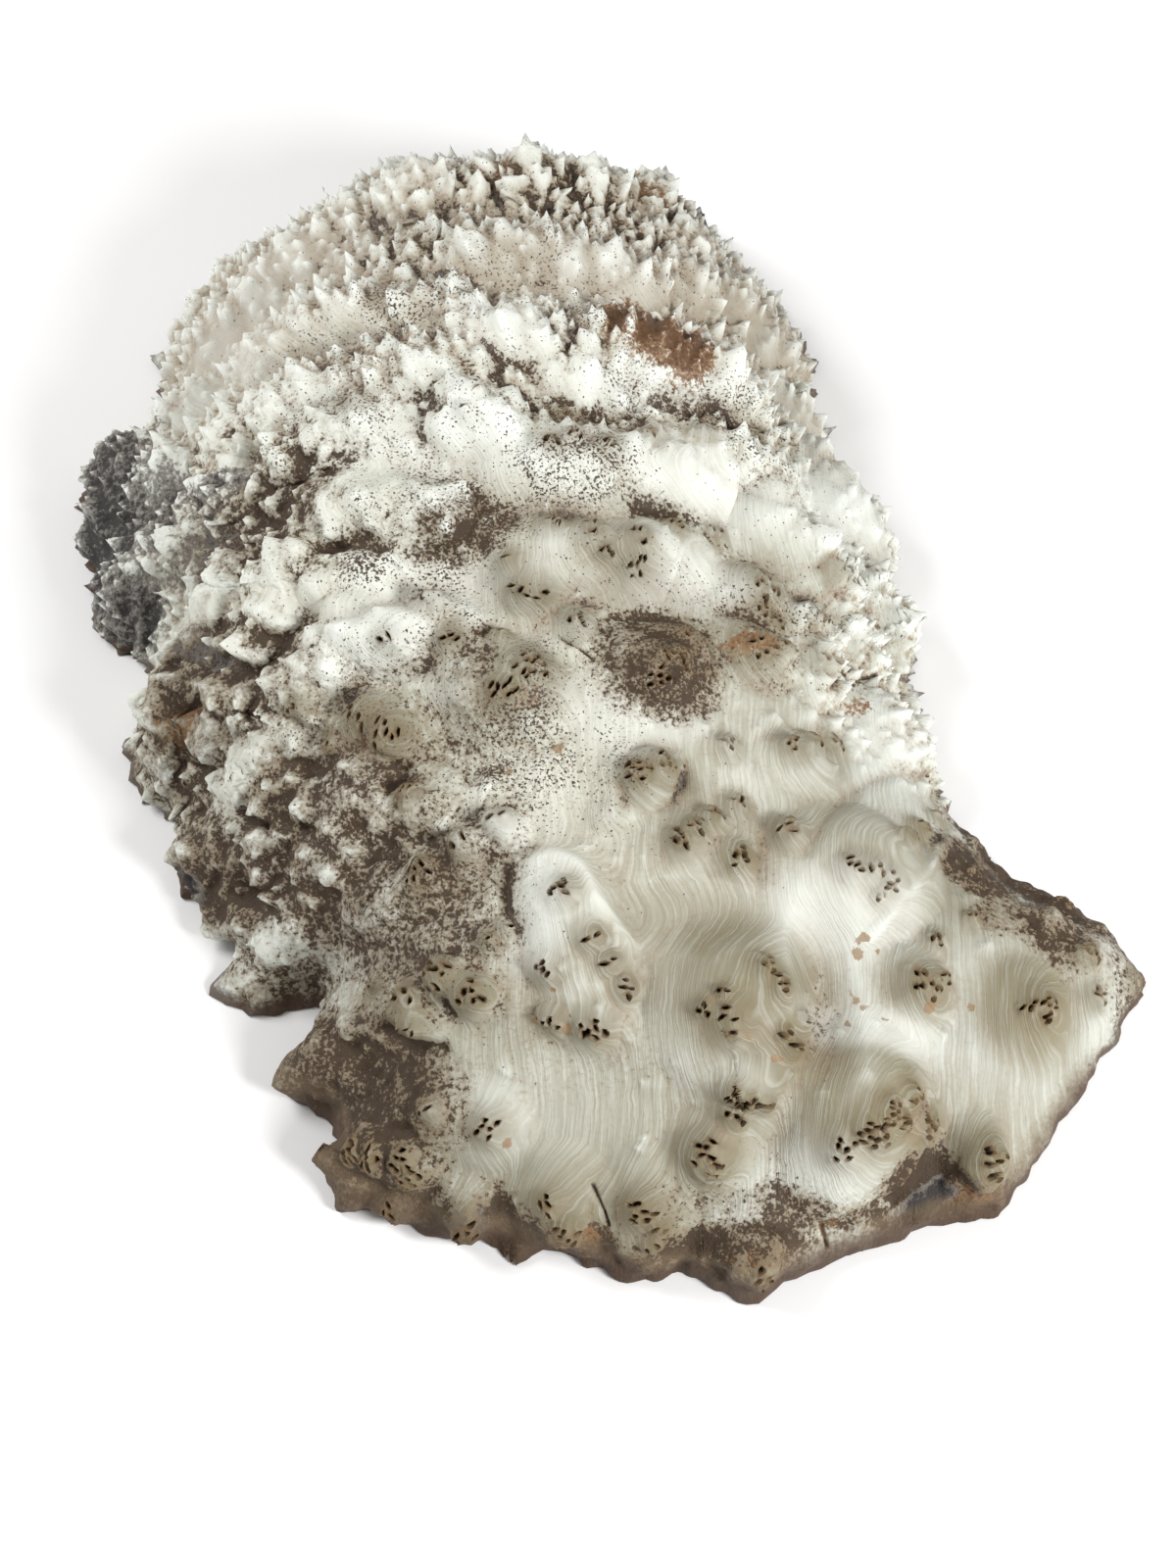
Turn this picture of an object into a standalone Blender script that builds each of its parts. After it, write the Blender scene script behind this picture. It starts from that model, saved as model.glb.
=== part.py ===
"""Yellow box burl cap: one slab of burl wood, domed and knobbly on top, sawn flat behind.

The tables are in millimetres and the mesh in metres. The cap rests on its sawn back at Z = 0, with its
thin tongue to +X and its far, spiky shoulder to +Y.
"""
import math

import bpy
import numpy as np

MM = 0.001

# Driving sizes of the cap.
BOX_MIDDLE = (-4.9, 61.1)
EDGE_THICKNESS = 26.0
DOME_HEIGHT = 82.0
DOME_TOP = (-40.0, 115.0)
DOME_REACH = (150.0, 235.0)
FOOT_HEIGHT = 22.0
FOOT_TOP = (40.0, -110.0)
FOOT_REACH = (110.0, 100.0)
RIM_WIDTH = 95.0
RIM_POWER = 2.6
WALL_POWER = 1.7

# How the skin is laid out and how finely the solid is cut.
HEART = np.array([10.0, -10.0])
SKIN_COUNT = 421
SCATTER_COUNT = 241
COARSE_COUNT = 161
TRIANGLES = 11400
BACK_SNAP = 0.3
BACK_SHRINK = 0.98
SEED = 11

# Relief.
LUMP_SHARE = 0.86
LUMP_POWER = 1.45
FADE_HEIGHT = 6.0
LEAN = 0.7
LEAN_FROM = (0.0, 30.0)
SMOOTH_SHARE = 0.85
SPIKE_SPACING = 12.5
SPIKE_RADIUS = 11.0
SPIKE_HEIGHT = 10.5
SPIKE_POWER = 1.8
KNOB_SPREAD = 1.35

# The places of lumps and knobs are read in a slanting view from above the near edge, in view steps.
VIEW_TILT = math.radians(57.0)
VIEW_DISTANCE = 1040.0
VIEW_SCALE = 2600.0
VIEW_MIDDLE = (600, 800)
VIEW_AHEAD = np.array([0.0, math.cos(VIEW_TILT), -math.sin(VIEW_TILT)])
VIEW_UP = np.array([0.0, math.sin(VIEW_TILT), math.cos(VIEW_TILT)])

WOOD_COLOUR = (0.72, 0.68, 0.58, 1.0)
WOOD_ROUGHNESS = 0.62

# The rim in plan, from the tongue's tip round by the far shoulder and the dark left lobe.
RIM = [
    (211, -92), (207, -76), (194, -60), (179, -49), (164, -37), (147, -22), (138, -2), (137, 22),
    (130, 45), (134, 66), (128, 92), (121, 120), (112, 144), (103, 165), (97, 190), (98, 215),
    (93, 240), (82, 262), (66, 280), (56, 302), (36, 320), (6, 328), (-30, 335), (-60, 329),
    (-84, 332), (-112, 319), (-138, 298), (-166, 277), (-184, 250), (-190, 222), (-188, 196),
    (-194, 176), (-211, 168), (-217, 150), (-214, 126), (-207, 98), (-200, 76), (-184, 62),
    (-180, 46), (-184, 22), (-180, 0), (-166, -12), (-159, -28), (-156, -46), (-140, -64),
    (-128, -82), (-128, -96), (-105, -102), (-101, -111), (-110, -129), (-111, -139), (-97, -149),
    (-93, -164), (-90, -178), (-68, -190), (-40, -199), (-12, -204), (16, -213), (34, -213),
    (56, -221), (80, -212), (104, -202), (128, -193), (149, -189), (161, -176), (173, -158),
    (187, -136), (202, -116),
]

# Lumps and hollows: across and down in the view, radius across, radius up, turn in degrees, height.
LUMPS = [
    (409, 166, 20, 24, 0, 21), (350, 205, 20, 22, 0, 9), (470, 180, 20, 22, 0, 9),
    (538, 152, 19, 22, 0, 20), (608, 166, 22, 22, 0, 13), (680, 190, 20, 22, 0, 9),
    (715, 235, 17, 20, 0, 8), (440, 240, 20, 18, 0, 5), (505, 245, 24, 22, 0, 10),
    (578, 240, 30, 20, -8, 13), (655, 270, 22, 20, 0, 10), (712, 275, 20, 20, 0, 9),
    (765, 295, 18, 20, 0, 9), (300, 245, 22, 20, 0, 9), (250, 290, 22, 22, 0, 9),
    (200, 345, 24, 24, 0, 10), (180, 405, 20, 22, 0, 9), (262, 345, 22, 22, 0, 9),
    (318, 312, 24, 20, 0, 12), (385, 300, 26, 20, 0, 10), (450, 300, 22, 20, 0, 9),
    (515, 320, 30, 22, 0, 13), (680, 340, 44, 24, -8, 17), (765, 385, 34, 22, -40, 14),
    (800, 345, 20, 22, 0, 9), (825, 410, 20, 20, 0, 9), (600, 372, 26, 20, 0, 8),
    (400, 365, 30, 22, 0, 9), (455, 375, 22, 20, 0, 9), (485, 412, 24, 20, 0, 13),
    (590, 455, 40, 26, 0, 15), (700, 465, 36, 24, -5, 12), (745, 452, 20, 18, 0, 9),
    (800, 470, 24, 20, 0, 11), (852, 465, 20, 20, 0, 9), (880, 508, 24, 22, 0, 11),
    (820, 528, 26, 20, -10, 11), (905, 550, 20, 22, 0, 9), (290, 400, 26, 26, 0, 10),
    (235, 440, 26, 18, 0, 8), (345, 505, 30, 18, 10, 10), (410, 515, 30, 18, 0, 8),
    (455, 518, 11, 14, 0, 6), (300, 455, 24, 16, 0, 8), (365, 430, 26, 22, 0, 10),
    (225, 495, 24, 14, -30, 9), (150, 480, 24, 20, 0, 8), (108, 470, 20, 22, 0, 7),
    (92, 540, 20, 22, 0, 7), (135, 570, 22, 20, 0, 6), (180, 560, 22, 18, 0, 7),
    (118, 620, 20, 20, 0, 6), (230, 600, 24, 20, 0, 9), (195, 635, 20, 18, 0, 9),
    (285, 595, 22, 20, 0, 9), (258, 645, 22, 18, 0, 8), (300, 565, 18, 14, 0, 7),
    (352, 590, 20, 18, 0, 9), (350, 645, 26, 20, 0, 11), (400, 648, 16, 18, 0, 8),
    (540, 600, 20, 14, -15, 5), (590, 642, 15, 15, 0, 5), (448, 628, 20, 18, 0, 8),
    (515, 692, 34, 26, 0, 12), (632, 570, 34, 20, 0, 6), (565, 555, 26, 22, 0, 9),
    (640, 545, 24, 18, 0, 7), (695, 555, 24, 20, 0, 9), (785, 600, 24, 18, 0, 10),
    (785, 655, 24, 18, 0, 9), (850, 578, 24, 22, 0, 11), (838, 645, 20, 18, 0, 8),
    (905, 600, 22, 20, 0, 9), (885, 650, 20, 18, 0, 7), (930, 645, 18, 18, 0, 8),
    (680, 668, 28, 24, 0, 12), (842, 690, 16, 14, 30, 6), (655, 788, 18, 18, 20, 7),
    (825, 768, 20, 17, 10, 7), (620, 828, 8, 9, 0, 4), (715, 852, 28, 15, 22, 5),
    (755, 878, 12, 12, 0, 3), (805, 848, 11, 12, 0, 4), (895, 865, 44, 32, 30, 17),
    (930, 740, 28, 20, -20, 10), (948, 1004, 17, 20, 0, 8), (592, 960, 22, 46, 8, 9),
    (572, 915, 20, 24, 0, 6), (765, 1022, 36, 40, 0, 15), (765, 1126, 19, 17, 0, 7),
    (722, 1180, 17, 19, 0, 9), (892, 1142, 30, 42, -18, 20), (1010, 1186, 15, 20, 0, 9),
    (1065, 1028, 20, 24, 0, 9), (1112, 978, 14, 14, 0, 5), (1119, 1020, 12, 12, 0, 4),
    (1082, 928, 12, 12, 0, 6), (497, 1155, 18, 20, 0, 6), (445, 1138, 12, 14, 0, 4),
    (365, 1182, 18, 14, 0, 5), (412, 1190, 14, 14, 0, 5), (346, 1218, 12, 14, 0, 5),
    (372, 1226, 10, 10, 0, 3), (402, 1236, 10, 10, 0, 3), (477, 1244, 15, 16, 0, 6),
    (566, 1238, 23, 24, 0, 10), (662, 1246, 20, 26, 0, 10), (775, 1288, 16, 16, 0, 6),
    (450, 1000, 12, 13, 0, 6), (481, 1018, 11, 12, 0, 5), (413, 1018, 9, 10, 0, 5),
    (422, 1044, 16, 9, -32, 5), (347, 1040, 9, 7, 0, 4), (235, 1010, 26, 14, -5, 9),
    (320, 1098, 20, 16, 0, 7), (158, 748, 16, 18, 0, 8), (213, 745, 22, 16, 10, 8),
    (245, 785, 18, 16, 0, 8), (165, 805, 16, 16, 0, 8), (190, 865, 20, 14, 0, 8),
    (270, 760, 20, 14, -20, 7), (385, 745, 24, 18, -15, 9), (352, 812, 24, 20, 0, 10),
    (428, 812, 16, 16, 0, 7), (370, 925, 26, 16, 15, 9), (250, 950, 24, 14, 0, 7),
    (330, 878, 20, 14, 0, 8), (428, 900, 12, 14, 0, 5), (472, 865, 10, 12, 0, 5),
    (510, 842, 13, 10, 10, 5), (255, 870, 22, 14, 0, 7), (290, 810, 18, 14, 0, 6),
    (300, 700, 24, 16, 0, 8), (232, 700, 20, 12, 0, 8), (180, 700, 20, 10, 10, 7),
    (470, 600, 30, 22, 0, -6), (440, 770, 40, 26, 0, -6), (1040, 915, 40, 24, -40, -8),
    (700, 940, 34, 16, 0, -5), (830, 1010, 16, 44, 0, -7), (590, 1130, 44, 36, 0, -3),
    (400, 1110, 30, 20, 0, -3), (320, 1000, 20, 16, 0, -5),
]

# Bud knobs: across and down in the view, radius, height.
KNOBS = [
    (564, 537, 6, 2.5), (604, 540, 7, 2.5), (618, 561, 5, 2), (652, 547, 6, 2.5), (647, 578, 9, 3),
    (531, 604, 7, 3), (553, 607, 6, 2.5), (440, 617, 7, 3), (460, 652, 6, 2.5), (540, 683, 11, 3.5),
    (515, 703, 8, 3), (588, 636, 7, 3), (704, 655, 11, 2.5), (688, 672, 9, 2), (779, 596, 12, 3),
    (776, 623, 6, 2.5), (789, 636, 6, 2.5), (773, 658, 12, 2.5), (834, 633, 8, 3), (842, 681, 7, 2.5),
    (851, 585, 6, 3), (651, 790, 8, 3), (675, 778, 8, 3), (741, 762, 6, 3), (693, 859, 6, 3),
    (709, 847, 6, 3), (728, 836, 6, 3), (750, 824, 6, 3), (753, 875, 7, 3), (803, 847, 7, 3),
    (808, 762, 6, 2.5), (830, 758, 6, 2.5), (850, 762, 6, 2.5), (870, 886, 6, 3), (891, 887, 6, 3),
    (908, 900, 7, 3), (926, 855, 6, 3), (940, 847, 6, 3), (957, 836, 5, 2.5), (943, 1005, 10, 3.5),
    (1083, 927, 6, 3), (1110, 976, 6, 3), (1119, 1017, 6, 3), (1064, 1028, 9, 3), (1160, 1005, 7, 3),
    (572, 909, 6, 3), (604, 957, 6, 3), (621, 982, 5, 3), (556, 992, 6, 3), (638, 1009, 6, 3),
    (564, 1042, 6, 3), (606, 1048, 8, 3.5), (718, 1029, 5, 2.5), (782, 989, 6, 3), (795, 1005, 6, 3),
    (744, 1042, 9, 4), (819, 1044, 6, 3), (808, 1068, 5, 2.5), (750, 1117, 6, 3), (765, 1123, 5, 3),
    (747, 1139, 6, 3), (722, 1180, 10, 3.5), (860, 1171, 8, 3.5), (881, 1153, 7, 3), (896, 1160, 7, 3),
    (902, 1138, 7, 3), (919, 1144, 6, 3), (929, 1121, 7, 3), (941, 1148, 8, 3), (1010, 1186, 9, 4),
    (497, 1151, 7, 3), (343, 1182, 7, 3), (363, 1176, 6, 3), (379, 1180, 7, 3), (411, 1183, 7, 3),
    (416, 1198, 8, 3), (401, 1235, 7, 3), (477, 1250, 8, 3), (560, 1230, 6, 3), (577, 1257, 9, 3),
    (655, 1236, 8, 3), (778, 1298, 9, 3), (371, 736, 8, 3), (397, 749, 9, 3.5), (433, 889, 5, 2.5),
    (473, 860, 6, 3), (511, 838, 6, 3), (449, 996, 8, 4), (481, 1015, 8, 4), (413, 1018, 6, 3),
    (418, 1047, 7, 3),
]


def clear_scene():
    for item in list(bpy.data.objects):
        bpy.data.objects.remove(item, do_unlink=True)


def rim_at(turn):
    """Plan points of the rim at shares of a turn: a smooth closed curve through RIM."""
    points = np.array(RIM, float)
    place = np.mod(turn, 1.0) * len(points)
    low = np.floor(place).astype(int)
    part = (place - low)[..., None]
    a, b, c, d = (points[(low + step) % len(points)] for step in (-1, 0, 1, 2))
    square = 2 * a - 5 * b + 4 * c - d
    cube = 3 * b - a - 3 * c + d
    return 0.5 * (2 * b + (c - a) * part + square * part**2 + cube * part**3)


def plan_grid(count):
    """A square grid of plan points drawn out to the rim, and how far out each one is."""
    side = np.linspace(-1, 1, count)
    a, b = np.meshgrid(side, side, indexing="ij")
    wide = np.abs(a) >= np.abs(b)
    reach = np.maximum(np.abs(a), np.abs(b))
    long = np.where(wide, a, b)
    short = np.where(wide, b, a)
    tilt = math.pi / 4 * short / np.where(long == 0, 1, long)
    angle = np.where(wide, tilt, math.pi / 2 - tilt)
    angle = np.where(long < 0, angle + math.pi, angle)
    share = 1 - (1 - reach) ** 1.4
    plan = HEART + share[..., None] * (rim_at(angle / (2 * math.pi)) - HEART)
    return plan, reach


def rim_distance(plan):
    """How far each plan point is from the rim."""
    rim = rim_at(np.linspace(0, 1, 1400, endpoint=False))
    gaps = [np.hypot(*(rim - point).T).min() for point in plan.reshape(-1, 2)]
    return np.array(gaps).reshape(plan.shape[:2])


def soften(field, times):
    for _ in range(times):
        wide = np.pad(field, 1, mode="reflect", reflect_type="odd")
        beside = wide[:-2, 1:-1] + wide[2:, 1:-1] + wide[1:-1, :-2] + wide[1:-1, 2:]
        field = (beside + 4 * field) / 8
    return field


def stretch(field, count):
    """A coarse grid's values on a finer grid of the same layout."""
    last = field.shape[0] - 1
    place = np.linspace(0, last, count)
    low = np.minimum(place.astype(int), last - 1)
    part = place - low
    rows = field[low] * (1 - part)[:, None] + field[low + 1] * part[:, None]
    return rows[:, low] * (1 - part) + rows[:, low + 1] * part


def ease(value, low, high):
    share = np.clip((value - low) / (high - low), 0, 1)
    return share * share * (3 - 2 * share)


def swell(x, y, top, reach):
    return np.exp(-(((x - top[0]) / reach[0]) ** 2) - ((y - top[1]) / reach[1]) ** 2)


def normals(points):
    out = np.cross(np.gradient(points, axis=0), np.gradient(points, axis=1))
    return out / (np.linalg.norm(out, axis=2, keepdims=True) + 1e-12)


def seen(points):
    """Where points lie in the slanting view, and how far from it."""
    depth = VIEW_DISTANCE + points @ VIEW_AHEAD
    across = VIEW_MIDDLE[0] + VIEW_SCALE * points[..., 0] / depth
    down = VIEW_MIDDLE[1] - VIEW_SCALE * (points @ VIEW_UP) / depth
    return across, down, depth


class Skin:
    """The cap's upper surface as a grid of points, raised step by step."""

    def __init__(self, count):
        plan, reach = plan_grid(count)
        coarse, _ = plan_grid(COARSE_COUNT)
        inward = stretch(soften(rim_distance(coarse), 3), count)
        inward = np.clip(inward, 0, None) * (1 - np.clip((reach - 0.985) / 0.015, 0, 1))
        x, y = plan[..., 0], plan[..., 1]
        tall = EDGE_THICKNESS + DOME_HEIGHT * swell(x, y, DOME_TOP, DOME_REACH)
        tall += FOOT_HEIGHT * swell(x, y, FOOT_TOP, FOOT_REACH)
        near_rim = np.clip(1 - inward / RIM_WIDTH, 0, 1)
        height = tall * np.clip(1 - near_rim**RIM_POWER, 0, 1) ** (1 / WALL_POWER)
        self.fade = np.clip(height / FADE_HEIGHT, 0, 1)
        self.settle(np.dstack([plan, height]))
        self.smooth_normals = self.normals

    def settle(self, points):
        self.points = points
        self.normals = normals(points)
        self.views = {}

    def raise_by(self, height, way):
        """Moves the skin; at the sawn edge it moves only sideways, so the back stays flat."""
        move = height[..., None] * way
        move[..., 2] *= self.fade
        self.settle(self.points + move)

    def spot(self, across, down, lift):
        """The grid place that shows at a point of the view once it is lifted."""
        if lift not in self.views:
            self.views[lift] = seen(self.points + lift * self.normals)
        view_x, view_y, depth = self.views[lift]
        cost = (view_x - across) ** 2 + (view_y - down) ** 2 + 0.05 * depth
        return np.unravel_index(np.argmin(cost), cost.shape)

    def around(self, at, radius):
        """The part of the grid within a radius of a place, and its offsets in the surface's own axes."""
        count = self.points.shape[0]
        i, j = (min(max(k, 1), count - 2) for k in at)
        a = (self.points[i + 1, j] - self.points[i - 1, j]) / 2
        b = (self.points[i, j + 1] - self.points[i, j - 1]) / 2
        cell = np.linalg.norm(np.cross(a, b)) + 1e-4
        rows = int(min(1.3 * radius * np.linalg.norm(b) / cell, count / 3)) + 3
        columns = int(min(1.3 * radius * np.linalg.norm(a) / cell, count / 3)) + 3
        part = (
            slice(max(at[0] - rows, 0), at[0] + rows + 1),
            slice(max(at[1] - columns, 0), at[1] + columns + 1),
        )
        normal = self.normals[at]
        side = np.array([1.0, 0.0, 0.0]) - normal[0] * normal
        side /= np.linalg.norm(side) + 1e-9
        offset = self.points[part] - self.points[at]
        return part, offset @ side, offset @ np.cross(normal, side), offset @ normal


def lump_heights(skin):
    height = np.zeros(skin.fade.shape)
    for across, down, wide, long, turn, tall in LUMPS:
        at = skin.spot(across, down, tall)
        part, u, v, w = skin.around(at, max(wide, long))
        cosine, sine = math.cos(math.radians(turn)), math.sin(math.radians(turn))
        along = (u * cosine + v * sine) / wide
        beside = (v * cosine - u * sine) / long
        off = along**2 + beside**2 + (w / (1.2 * max(wide, long))) ** 2
        height[part] += tall * np.clip(1 - off, 0, 1) ** LUMP_POWER
    return height * LUMP_SHARE


def knob_heights(skin):
    height = np.zeros(skin.fade.shape)
    for across, down, radius, tall in KNOBS:
        at = skin.spot(across, down, 0)
        part, u, v, w = skin.around(at, KNOB_SPREAD * radius)
        off = (u**2 + v**2 + w**2) / (KNOB_SPREAD * radius) ** 2
        height[part] = np.maximum(height[part], tall * np.clip(1 - off, 0, 1) ** 1.5)
    return height


def outward(skin):
    """Level directions away from the middle of the cap."""
    out = skin.points - np.array([*LEAN_FROM, 0.0])
    out[..., 2] = 0
    return out / (np.linalg.norm(out, axis=2, keepdims=True) + 1e-9)


def spikiness(skin):
    """How spiky the skin is: the far shoulder and both flanks, most on the outer brows of lumps."""
    x, y = skin.points[..., 0], skin.points[..., 1]
    far = ease(y, 75, 150)
    right = ease(x, 68, 108) * ease(y, -25, 5)
    left = ease(-x, 85, 135) * (0.35 * ease(y, -120, -60) + 0.45 * ease(y, 30, 100))
    zone = np.maximum(np.maximum(far, right), left)
    tilt = ((skin.normals - skin.smooth_normals) * outward(skin)).sum(axis=2)
    smooth_share = SMOOTH_SHARE * (1 - ease(y, 190, 260))
    return zone * (1 - smooth_share * ease(-tilt, -0.1, 0.3))


def scattered(skin, wanted, spacing, tries, rng):
    """Shares of the grid where spikes stand, evenly spaced over the surface."""
    points = skin.points
    cells = np.linalg.norm(np.cross(np.gradient(points, axis=0), np.gradient(points, axis=1)), axis=2)
    weight = (cells * wanted).ravel()
    picks = rng.choice(weight.size, size=tries, p=weight / weight.sum())
    flat = points.reshape(-1, 3)
    kept = []
    for pick in picks:
        if not kept or np.linalg.norm(flat[kept] - flat[pick], axis=1).min() > spacing:
            kept.append(pick)
    rows, columns = np.unravel_index(kept, cells.shape)
    return np.column_stack([rows, columns]) / (points.shape[0] - 1)


def spike_heights(skin, places, wanted, rng):
    height = np.zeros(skin.fade.shape)
    last = skin.points.shape[0] - 1
    for place in places:
        at = tuple(np.round(place * last).astype(int))
        radius = SPIKE_RADIUS * rng.uniform(0.75, 1.3)
        tall = SPIKE_HEIGHT * rng.uniform(0.6, 1.3) * (0.35 + 0.65 * wanted[at])
        turn = rng.uniform(0, math.pi)
        squash = rng.uniform(0.8, 1.25)
        part, u, v, w = skin.around(at, 1.3 * radius)
        along = (u * math.cos(turn) + v * math.sin(turn)) * squash
        beside = (v * math.cos(turn) - u * math.sin(turn)) / squash
        off = np.sqrt(along**2 + beside**2 + w**2) / radius
        height[part] += tall * np.clip(1 - off, 0, 1) ** SPIKE_POWER
    return height


def leaning(skin, wanted):
    """The way relief is raised: along the normal, leaning outward where the skin is spiky."""
    way = skin.normals + LEAN * wanted[..., None] * outward(skin)
    return way / np.linalg.norm(way, axis=2, keepdims=True)


def lumpy_skin(count):
    skin = Skin(count)
    skin.raise_by(lump_heights(skin), skin.normals)
    return skin


def cap_skin():
    rng = np.random.default_rng(SEED)
    rough = lumpy_skin(SCATTER_COUNT)
    places = scattered(rough, spikiness(rough), SPIKE_SPACING, 9000, rng)
    skin = lumpy_skin(SKIN_COUNT)
    wanted = spikiness(skin)
    relief = spike_heights(skin, places, wanted, rng) + knob_heights(skin)
    skin.raise_by(relief, leaning(skin, wanted))
    return skin.points


def closed_mesh(name, top):
    """One closed mesh: the skin above and, inside the same rim, the flat sawn back."""
    count = top.shape[0]
    plan, _ = plan_grid(count)
    back = np.dstack([HEART + BACK_SHRINK * (plan - HEART), np.zeros((count, count))])
    top_ids = np.arange(count * count).reshape(count, count)
    inside = np.zeros((count, count), bool)
    inside[1:-1, 1:-1] = True
    back_ids = top_ids.copy()
    back_ids[inside] = count * count + np.arange(inside.sum())
    corners = [
        np.column_stack([ids[:-1, :-1].ravel(), ids[1:, :-1].ravel(), ids[1:, 1:].ravel(), ids[:-1, 1:].ravel()])
        for ids in (top_ids, back_ids)
    ]
    faces = np.vstack([corners[0], corners[1][:, ::-1]])
    places = np.vstack([top.reshape(-1, 3), back[inside]])
    places[:, :2] -= BOX_MIDDLE
    mesh = bpy.data.meshes.new(name)
    mesh.from_pydata((places * MM).tolist(), [], faces.tolist())
    mesh.update()
    return mesh


def wood():
    material = bpy.data.materials.new("burl wood")
    material.use_nodes = True
    shader = material.node_tree.nodes["Principled BSDF"]
    shader.inputs["Base Color"].default_value = WOOD_COLOUR
    shader.inputs["Roughness"].default_value = WOOD_ROUGHNESS
    shader.inputs["Metallic"].default_value = 0.0
    material.diffuse_color = WOOD_COLOUR
    return material


def flatten_back(cap):
    """Cuts the facets for good, then sets the corners of the sawn back level at Z = 0."""
    scene_state = bpy.context.evaluated_depsgraph_get()
    faceted = bpy.data.meshes.new_from_object(cap.evaluated_get(scene_state))
    cap.modifiers.clear()
    cap.data = faceted
    for corner in faceted.vertices:
        if corner.co.z < BACK_SNAP * MM:
            corner.co.z = 0.0


def make_cap():
    mesh = closed_mesh("burl_cap", cap_skin())
    mesh.materials.append(wood())
    cap = bpy.data.objects.new("burl_cap", mesh)
    bpy.context.scene.collection.objects.link(cap)
    mesh.calc_loop_triangles()
    facets = cap.modifiers.new("facets", "DECIMATE")
    facets.decimate_type = "COLLAPSE"
    facets.ratio = TRIANGLES / len(mesh.loop_triangles)
    facets.use_collapse_triangulate = True
    flatten_back(cap)
    return cap


clear_scene()
make_cap()
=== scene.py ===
"""The yellow box burl cap as it looks: its grown skin with spikes, bud eyes and stains, and its sawn back."""
import math

import bpy
import numpy as np
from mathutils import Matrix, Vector


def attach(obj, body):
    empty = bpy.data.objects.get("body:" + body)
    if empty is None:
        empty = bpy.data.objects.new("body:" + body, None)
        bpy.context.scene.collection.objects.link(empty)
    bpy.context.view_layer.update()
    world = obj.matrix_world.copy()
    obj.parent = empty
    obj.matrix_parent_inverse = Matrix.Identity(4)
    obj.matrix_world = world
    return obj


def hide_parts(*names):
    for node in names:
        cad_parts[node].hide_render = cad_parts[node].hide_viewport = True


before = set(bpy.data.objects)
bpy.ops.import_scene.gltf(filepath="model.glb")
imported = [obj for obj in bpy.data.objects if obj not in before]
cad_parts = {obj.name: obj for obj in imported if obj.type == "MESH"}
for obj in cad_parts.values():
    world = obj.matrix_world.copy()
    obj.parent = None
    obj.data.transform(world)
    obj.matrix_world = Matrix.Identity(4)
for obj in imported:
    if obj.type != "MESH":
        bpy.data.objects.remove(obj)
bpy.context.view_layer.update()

MM = 0.001

# Driving sizes of the cap.
BOX_MIDDLE = (-4.9, 61.1)
EDGE_THICKNESS = 26.0
DOME_HEIGHT = 82.0
DOME_TOP = (-40.0, 115.0)
DOME_REACH = (150.0, 235.0)
FOOT_HEIGHT = 22.0
FOOT_TOP = (40.0, -110.0)
FOOT_REACH = (110.0, 100.0)
RIM_WIDTH = 95.0
RIM_POWER = 2.6
WALL_POWER = 1.7

# How the skin is laid out and how finely the solid is cut.
HEART = np.array([10.0, -10.0])
SKIN_COUNT = 1001
SCATTER_COUNT = 241
COARSE_COUNT = 161
TRIANGLES = 190000
BACK_STEP = 4
BACK_SHRINK = 0.975
BACK_SNAP = 0.3
RIM_STEPS = 1400
PLAN_POWER = 1.4
DEPTH_SHARE = 0.05
SHARP_ANGLE = math.radians(75.0)
SEED = 11

# Relief, in millimetres or as shares.
LUMP_SHARE = 0.86
LUMP_POWER = 1.45
FADE_HEIGHT = 6.0
LEAN = 0.7
LEAN_FROM = (0.0, 30.0)
SMOOTH_SHARE = 0.85
SPIKE_POWER = 1.8
KNOB_SPREAD = 1.35
KNOB_POWER = 1.5
HALO_SPREAD = 2.0
WORN_SPACING = 12.5
WORN_TRIES = 9000
WORN_RADIUS = 7.5
WORN_HEIGHT = 6.5
THORN_SPACING = 4.4
THORN_TRIES = 12000
STRAY_THORNS = 0.015
THORN_RADIUS = 3.4
THORN_HEIGHT = 4.2
SKIRT = 2.3
STEEP_SHARE = 0.8
CREST_SPACING = 12.0
CREST_TRIES = 3000
STRAY_CRESTS = 1e-6
CREST_RADIUS = 11.0
CREST_HEIGHT = 7.0
PALE_CALM = 0.6
CLOUD_SHARE = 0.16
RAGGEDNESS = 1.8
UPWARD = np.array([0.0, 0.9, 0.3])
PINHOLE_DEPTH = 4.5
PINHOLE_LONG = (0.7, 1.5)
PINHOLE_WIDE = (0.45, 0.8)
PINHOLE_TURN = 2.4
RING_REACH = 2.3
RING_SHARE = 0.45
MOUND_RADIUS = 2.6
MOUND_HEIGHT = 1.5
MOUND_POWER = 1.2
SPUR_POWER = 1.4
ROUGHENING = 0.7
CROOKEDNESS = 0.9
SWELL = 0.8
CHAR_KNOBS = 2.2
GRIME_KNOBS = 3.0
HOLE_SHARE = 0.58
GRAIN_BEND = 1.6

# The places of lumps and knobs are read in a slanting view from above the near edge, in view steps.
VIEW_TILT = math.radians(57.0)
VIEW_DISTANCE = 1040.0
VIEW_SCALE = 2600.0
VIEW_MIDDLE = (600, 800)
PICTURE_HEIGHT = 1600
SENSOR = 36.0
VIEW_AHEAD = np.array([0.0, math.cos(VIEW_TILT), -math.sin(VIEW_TILT)])
VIEW_UP = np.array([0.0, math.sin(VIEW_TILT), math.cos(VIEW_TILT)])

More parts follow.
